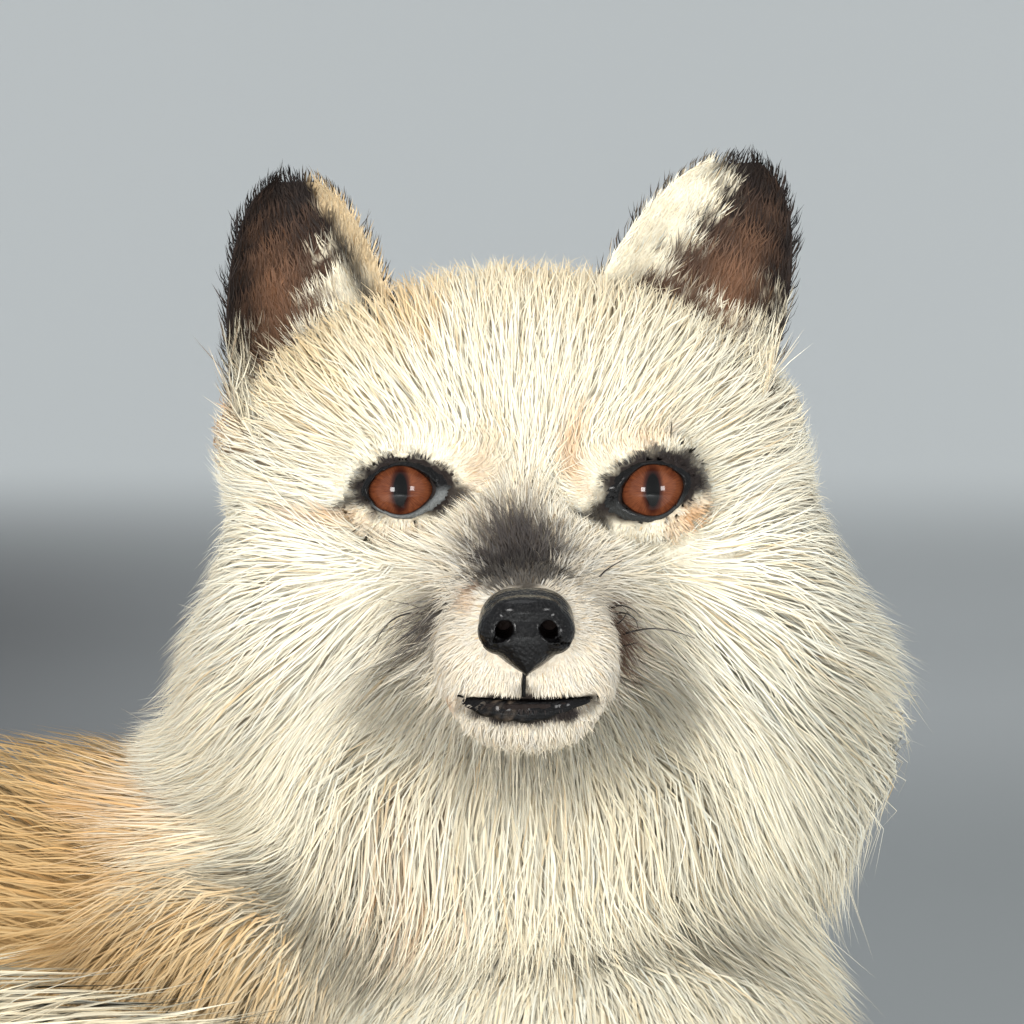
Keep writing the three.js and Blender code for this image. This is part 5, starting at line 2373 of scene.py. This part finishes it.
@dataclass
class Studio:
    """The floor with its raised back, the lights and the camera.

    Attributes:
        placement: Carries millimetres into the model's frame.
    """

    placement: Placement
    elevation: float = math.radians(2.0)
    distance: float = 1200.0
    aim: Triple = (-3.2, 0.0, EYE_HEIGHT - 4.8)
    lens: float = 192.0
    half_width: float = 6.0
    front: float = -7.0
    back: float = 5.2
    bend: float = 1.8
    height: float = 5.0

    def build(self) -> None:
        """Sets up the floor, the lights, the world and the camera."""
        self.paper()
        self.lights()
        self.camera()

    def paper(self) -> None:
        """A floor that curves up into a wall far behind the fox."""
        turns = np.linspace(0.0, math.pi / 2.0, 17)
        start = self.back - self.bend
        profile = [(self.front, 0.0)]
        profile += [(start + self.bend * math.sin(a), self.bend * (1.0 - math.cos(a))) for a in turns]
        profile.append((self.back, self.height))
        points = [(x, y, z) for y, z in profile for x in (-self.half_width, self.half_width)]
        faces = [(2 * k, 2 * k + 1, 2 * k + 3, 2 * k + 2) for k in range(len(profile) - 1)]
        made = bpy.data.meshes.new("paper")
        made.from_pydata(points, [], faces)
        made.shade_smooth()
        made.materials.append(StageFinish().made())
        floor = linked("paper", made)

    def lights(self) -> None:
        """Four soft lights in front, a broad one overhead and a pale sky."""
        face = Vector(self.placement.metres(np.array([0.0, 0.0, EYE_HEIGHT - 30.0])))
        boxes = (
            ("box_left", (-0.50, -1.25, 0.12), 0.24, 6.0, (1.0, 0.98, 0.95)),
            ("box_right", (0.62, -1.20, 0.18), 0.24, 4.5, (1.0, 0.99, 0.97)),
            ("front", (-0.35, -1.6, 0.15), 0.9, 11.5, (0.985, 0.99, 0.99)),
            ("low", (-0.08, -1.35, -0.05), 0.25, 8.0, (0.985, 0.99, 0.99)),
            ("overhead", (-0.3, -0.7, 2.1), 1.2, 14.0, (0.98, 0.99, 1.0)),
        )
        for name, offset, size, power, colour in boxes:
            lamp = bpy.data.lights.new(name, "AREA")
            lamp.shape, lamp.size, lamp.energy, lamp.color = "SQUARE", size, power, colour
            item = linked(name, lamp)
            item.location = face + Vector(offset)
            item.rotation_euler = (-Vector(offset)).to_track_quat("-Z", "Y").to_euler()
            item.visible_glossy = name not in ("front", "low")
        scene = bpy.context.scene
        scene.view_settings.view_transform = "Standard"
        scene.cycles.diffuse_bounces = scene.cycles.glossy_bounces = 1
        scene.cycles.max_bounces = 4
        world = bpy.data.worlds.new("studio")
        world.use_nodes = True
        sky = world.node_tree.nodes["Background"].inputs
        sky["Color"].default_value = (0.86, 0.90, 0.93, 1.0)
        sky["Strength"].default_value = 0.72
        scene.world = world

    def camera(self) -> None:
        """Places the camera a little above the eyes' height, looking slightly down."""
        lens = bpy.data.cameras.new("camera")
        lens.lens, lens.sensor_width = self.lens, 36.0
        lens.clip_start, lens.clip_end = 0.05, 40.0
        item = linked("camera", lens)
        back = np.array([0.0, -math.cos(self.elevation), math.sin(self.elevation)])
        item.location = self.placement.metres(np.array(self.aim) + back * self.distance)
        item.rotation_euler = (math.pi / 2.0 - self.elevation, 0.0, 0.0)
        bpy.context.scene.camera = item


# ------------------ the fox


FLESH = (
    "head muzzle jaw ear_right ear_left neck chest belly rump upper_arm_right upper_arm_left forearm_right "
    "forearm_left forepaw_right forepaw_left thigh_right thigh_left hock_right hock_left hindpaw_right "
    "hindpaw_left tail_root tail_middle tail_tip"
).split()


@dataclass
class Fox:
    """The whole fox.

    Attributes:
        workshop: Makes its pieces.
        anatomy: Its forms.
        cheek_line: How far back the face's coat goes on the cheeks.
        bib_line: The height at which the bib's two pieces part.
        nape_line: How far back the bib goes, and ``flank_line`` how far down the back does.
    """

    workshop: Workshop
    anatomy: Anatomy = field(default_factory=Anatomy)
    cheek_line: float = 22.0
    bib_line: float = 138.0
    nape_line: float = 60.0
    flank_line: float = 66.0

    def build(self) -> None:
        """Builds the skin, the features and the coat."""
        sockets = [
            EyeSocket(-1, math.radians(-2.0)),
            EyeSocket(1, math.radians(17.0), (7.0, 5.7), (10.8, 6.9), -1.5),
        ]
        skin = Skin(self.anatomy, Markings(self.anatomy), sockets)
        body = skin.body()
        ears = [
            Ear(EarSide.RIGHT, (-48.5, 50.0, 20.0), (-53.0, 45.0, 72.0), 21.0, 0.1, 0.95, 0.06, (-0.42, -1.1)),
            Ear(EarSide.LEFT, (32.0, 50.0, 20.0), (47.5, 46.0, 76.5), 25.0, -0.12),
        ]
        leaves = [ear.pelt() for ear in ears]
        whole = body.joined(leaves[0]).joined(leaves[1])
        pelt = self.workshop.piece("pelt", whole.points, whole.faces, SkinFinish().made(), "body_fur", FLESH)
        self.workshop.paint(pelt, whole.tint)
        self.features(skin, sockets)
        self.coat(skin, body, leaves)

    def features(self, skin: Skin, sockets: Sequence[EyeSocket]) -> None:
        """Makes the eyes, rims, nose, lips, whiskers and claws.

        Args:
            skin: The skin that they sit in.
            sockets: The eyes' sockets.
        """
        glass = EyeFinish().made()
        rim = LeatherFinish("rim_leather", 1600.0, 0.5, 0.0003, 0.1).made()
        for socket, side in zip(sockets, ("right", "left")):
            EyeBall(socket).build(self.workshop, glass, f"glass_eye_{side}", f"eye_{side}")
            LidRim(socket, skin, 0.5 if side == "right" else 0.1).build(self.workshop, rim, f"lid_rim_{side}")
        leather = LeatherFinish("nose_leather", 1150.0, 0.36, 0.0005, 0.14)
        Nose().build(self.workshop, leather.made())
        Lips(skin).build(self.workshop, rim)
        strands = StrandTree()
        stiff = HornFinish("whisker_hair", (0.012, 0.010, 0.009), 0.4).made()
        horn = HornFinish("claw_horn", (0.05, 0.036, 0.026), 0.4).made()
        Whiskers(skin).build(self.workshop, strands, stiff)
        Claws(self.anatomy.paws).build(self.workshop, strands, horn)

    def coat(self, skin: Skin, body: Pelt, leaves: Sequence[Pelt]) -> None:
        """Grows the coat, piece by piece.

        Args:
            skin: The skin.
            body: The body's pelt.
            leaves: The ears' pelts.
        """
        slots = ("face_fur", "ruff_fur", "body_fur", "brush_fur", "ear_fur", "paw_fur")
        finishes = {slot: FurFinish(slot).made() for slot in slots}
        coat = Coat(LevelGrid(self.anatomy), self.workshop, finishes, skin.covers)
        stretches = self.stretches(skin, body)
        for plan in (
            CoatPlan("coat_face", "face_fur", 19800, 1, 1.0, 1.5),
            CoatPlan("coat_crown", "face_fur", 11000, 1, 1.0, 1.0),
            CoatPlan("coat_ruff_right", "ruff_fur", 11500, 2, 1.0, 1.5),
            CoatPlan("coat_ruff_left", "ruff_fur", 11500, 2, 1.0, 1.5),
            CoatPlan("coat_bib_upper", "ruff_fur", 11500, 2, 1.0, 1.5),
            CoatPlan("coat_bib_lower", "ruff_fur", 7500, 2, 1.1, 1.5),
            CoatPlan("coat_back", "body_fur", 11500, 2, low=0.8),
            CoatPlan("coat_shoulders", "body_fur", 5000, 2),
            CoatPlan("coat_flanks", "body_fur", 5000, 2, 1.3),
            CoatPlan("coat_brush", "brush_fur", 11000, 2, 1.1, 2.0, low=0.8),
            CoatPlan("coat_legs", "paw_fur", 5500, 1, 1.2),
        ):
            coat.grow(plan, body.part(stretches[plan.name]))
        for leaf, side in zip(leaves, ("right", "left")):
            coat.grow(CoatPlan(f"coat_ear_{side}", "ear_fur", 5500, 1, 1.0, 1.0, True), leaf)

    def stretches(self, skin: Skin, body: Pelt) -> dict[str, Array]:
        """Parts the body's faces among the coat's pieces.

        Args:
            skin: The skin, which knows where it is bare.
            body: The body's pelt.

        Returns:
            For each piece, which faces are its own.
        """
        middle = body.points[body.faces].mean(axis=1)
        q = to_head(middle)
        shares = self.anatomy.weights(middle)
        parts = list(shares)
        lead = np.argmax(np.stack([shares[part] for part in parts]), axis=0)

        def led(*wanted: Part) -> Array:
            return np.isin(lead, [parts.index(part) for part in wanted])

        lies = (middle[:, 2] < 9.0) & (body.normals[body.faces[:, 0], 2] < -0.5)
        grows = ~lies & ~skin.bare(q)
        face = led(Part.MUZZLE, Part.BROW) | (led(Part.CHEEK) & (q[:, 1] < self.cheek_line))
        ruff = (led(Part.RUFF) | led(Part.CHEEK)) & ~face
        neck = led(Part.NECK)
        front = neck & (middle[:, 1] < self.nape_line)
        back = led(Part.TRUNK) & (middle[:, 2] > self.flank_line)
        return {
            "coat_face": face & grows,
            "coat_crown": led(Part.SKULL) & grows,
            "coat_ruff_right": ruff & (q[:, 0] < 3.0) & grows,
            "coat_ruff_left": ruff & (q[:, 0] >= 3.0) & grows,
            "coat_bib_upper": front & (middle[:, 2] > self.bib_line) & grows,
            "coat_bib_lower": front & (middle[:, 2] <= self.bib_line) & grows,
            "coat_back": ((neck & ~front) | back) & grows,
            "coat_shoulders": led(Part.ARM) & grows,
            "coat_flanks": (led(Part.THIGH) | (led(Part.TRUNK) & ~back)) & grows,
            "coat_brush": led(Part.TAIL) & grows,
            "coat_legs": led(Part.LEG, Part.PAW) & grows,
        }


def main() -> None:
    """Builds the fox and its studio."""
    logging.basicConfig(level=logging.INFO, format="%(name)s: %(message)s")
    placement = Placement()
    Studio(placement).build()
    Fox(Workshop(placement)).build()


if __name__ == "__main__":
    main()
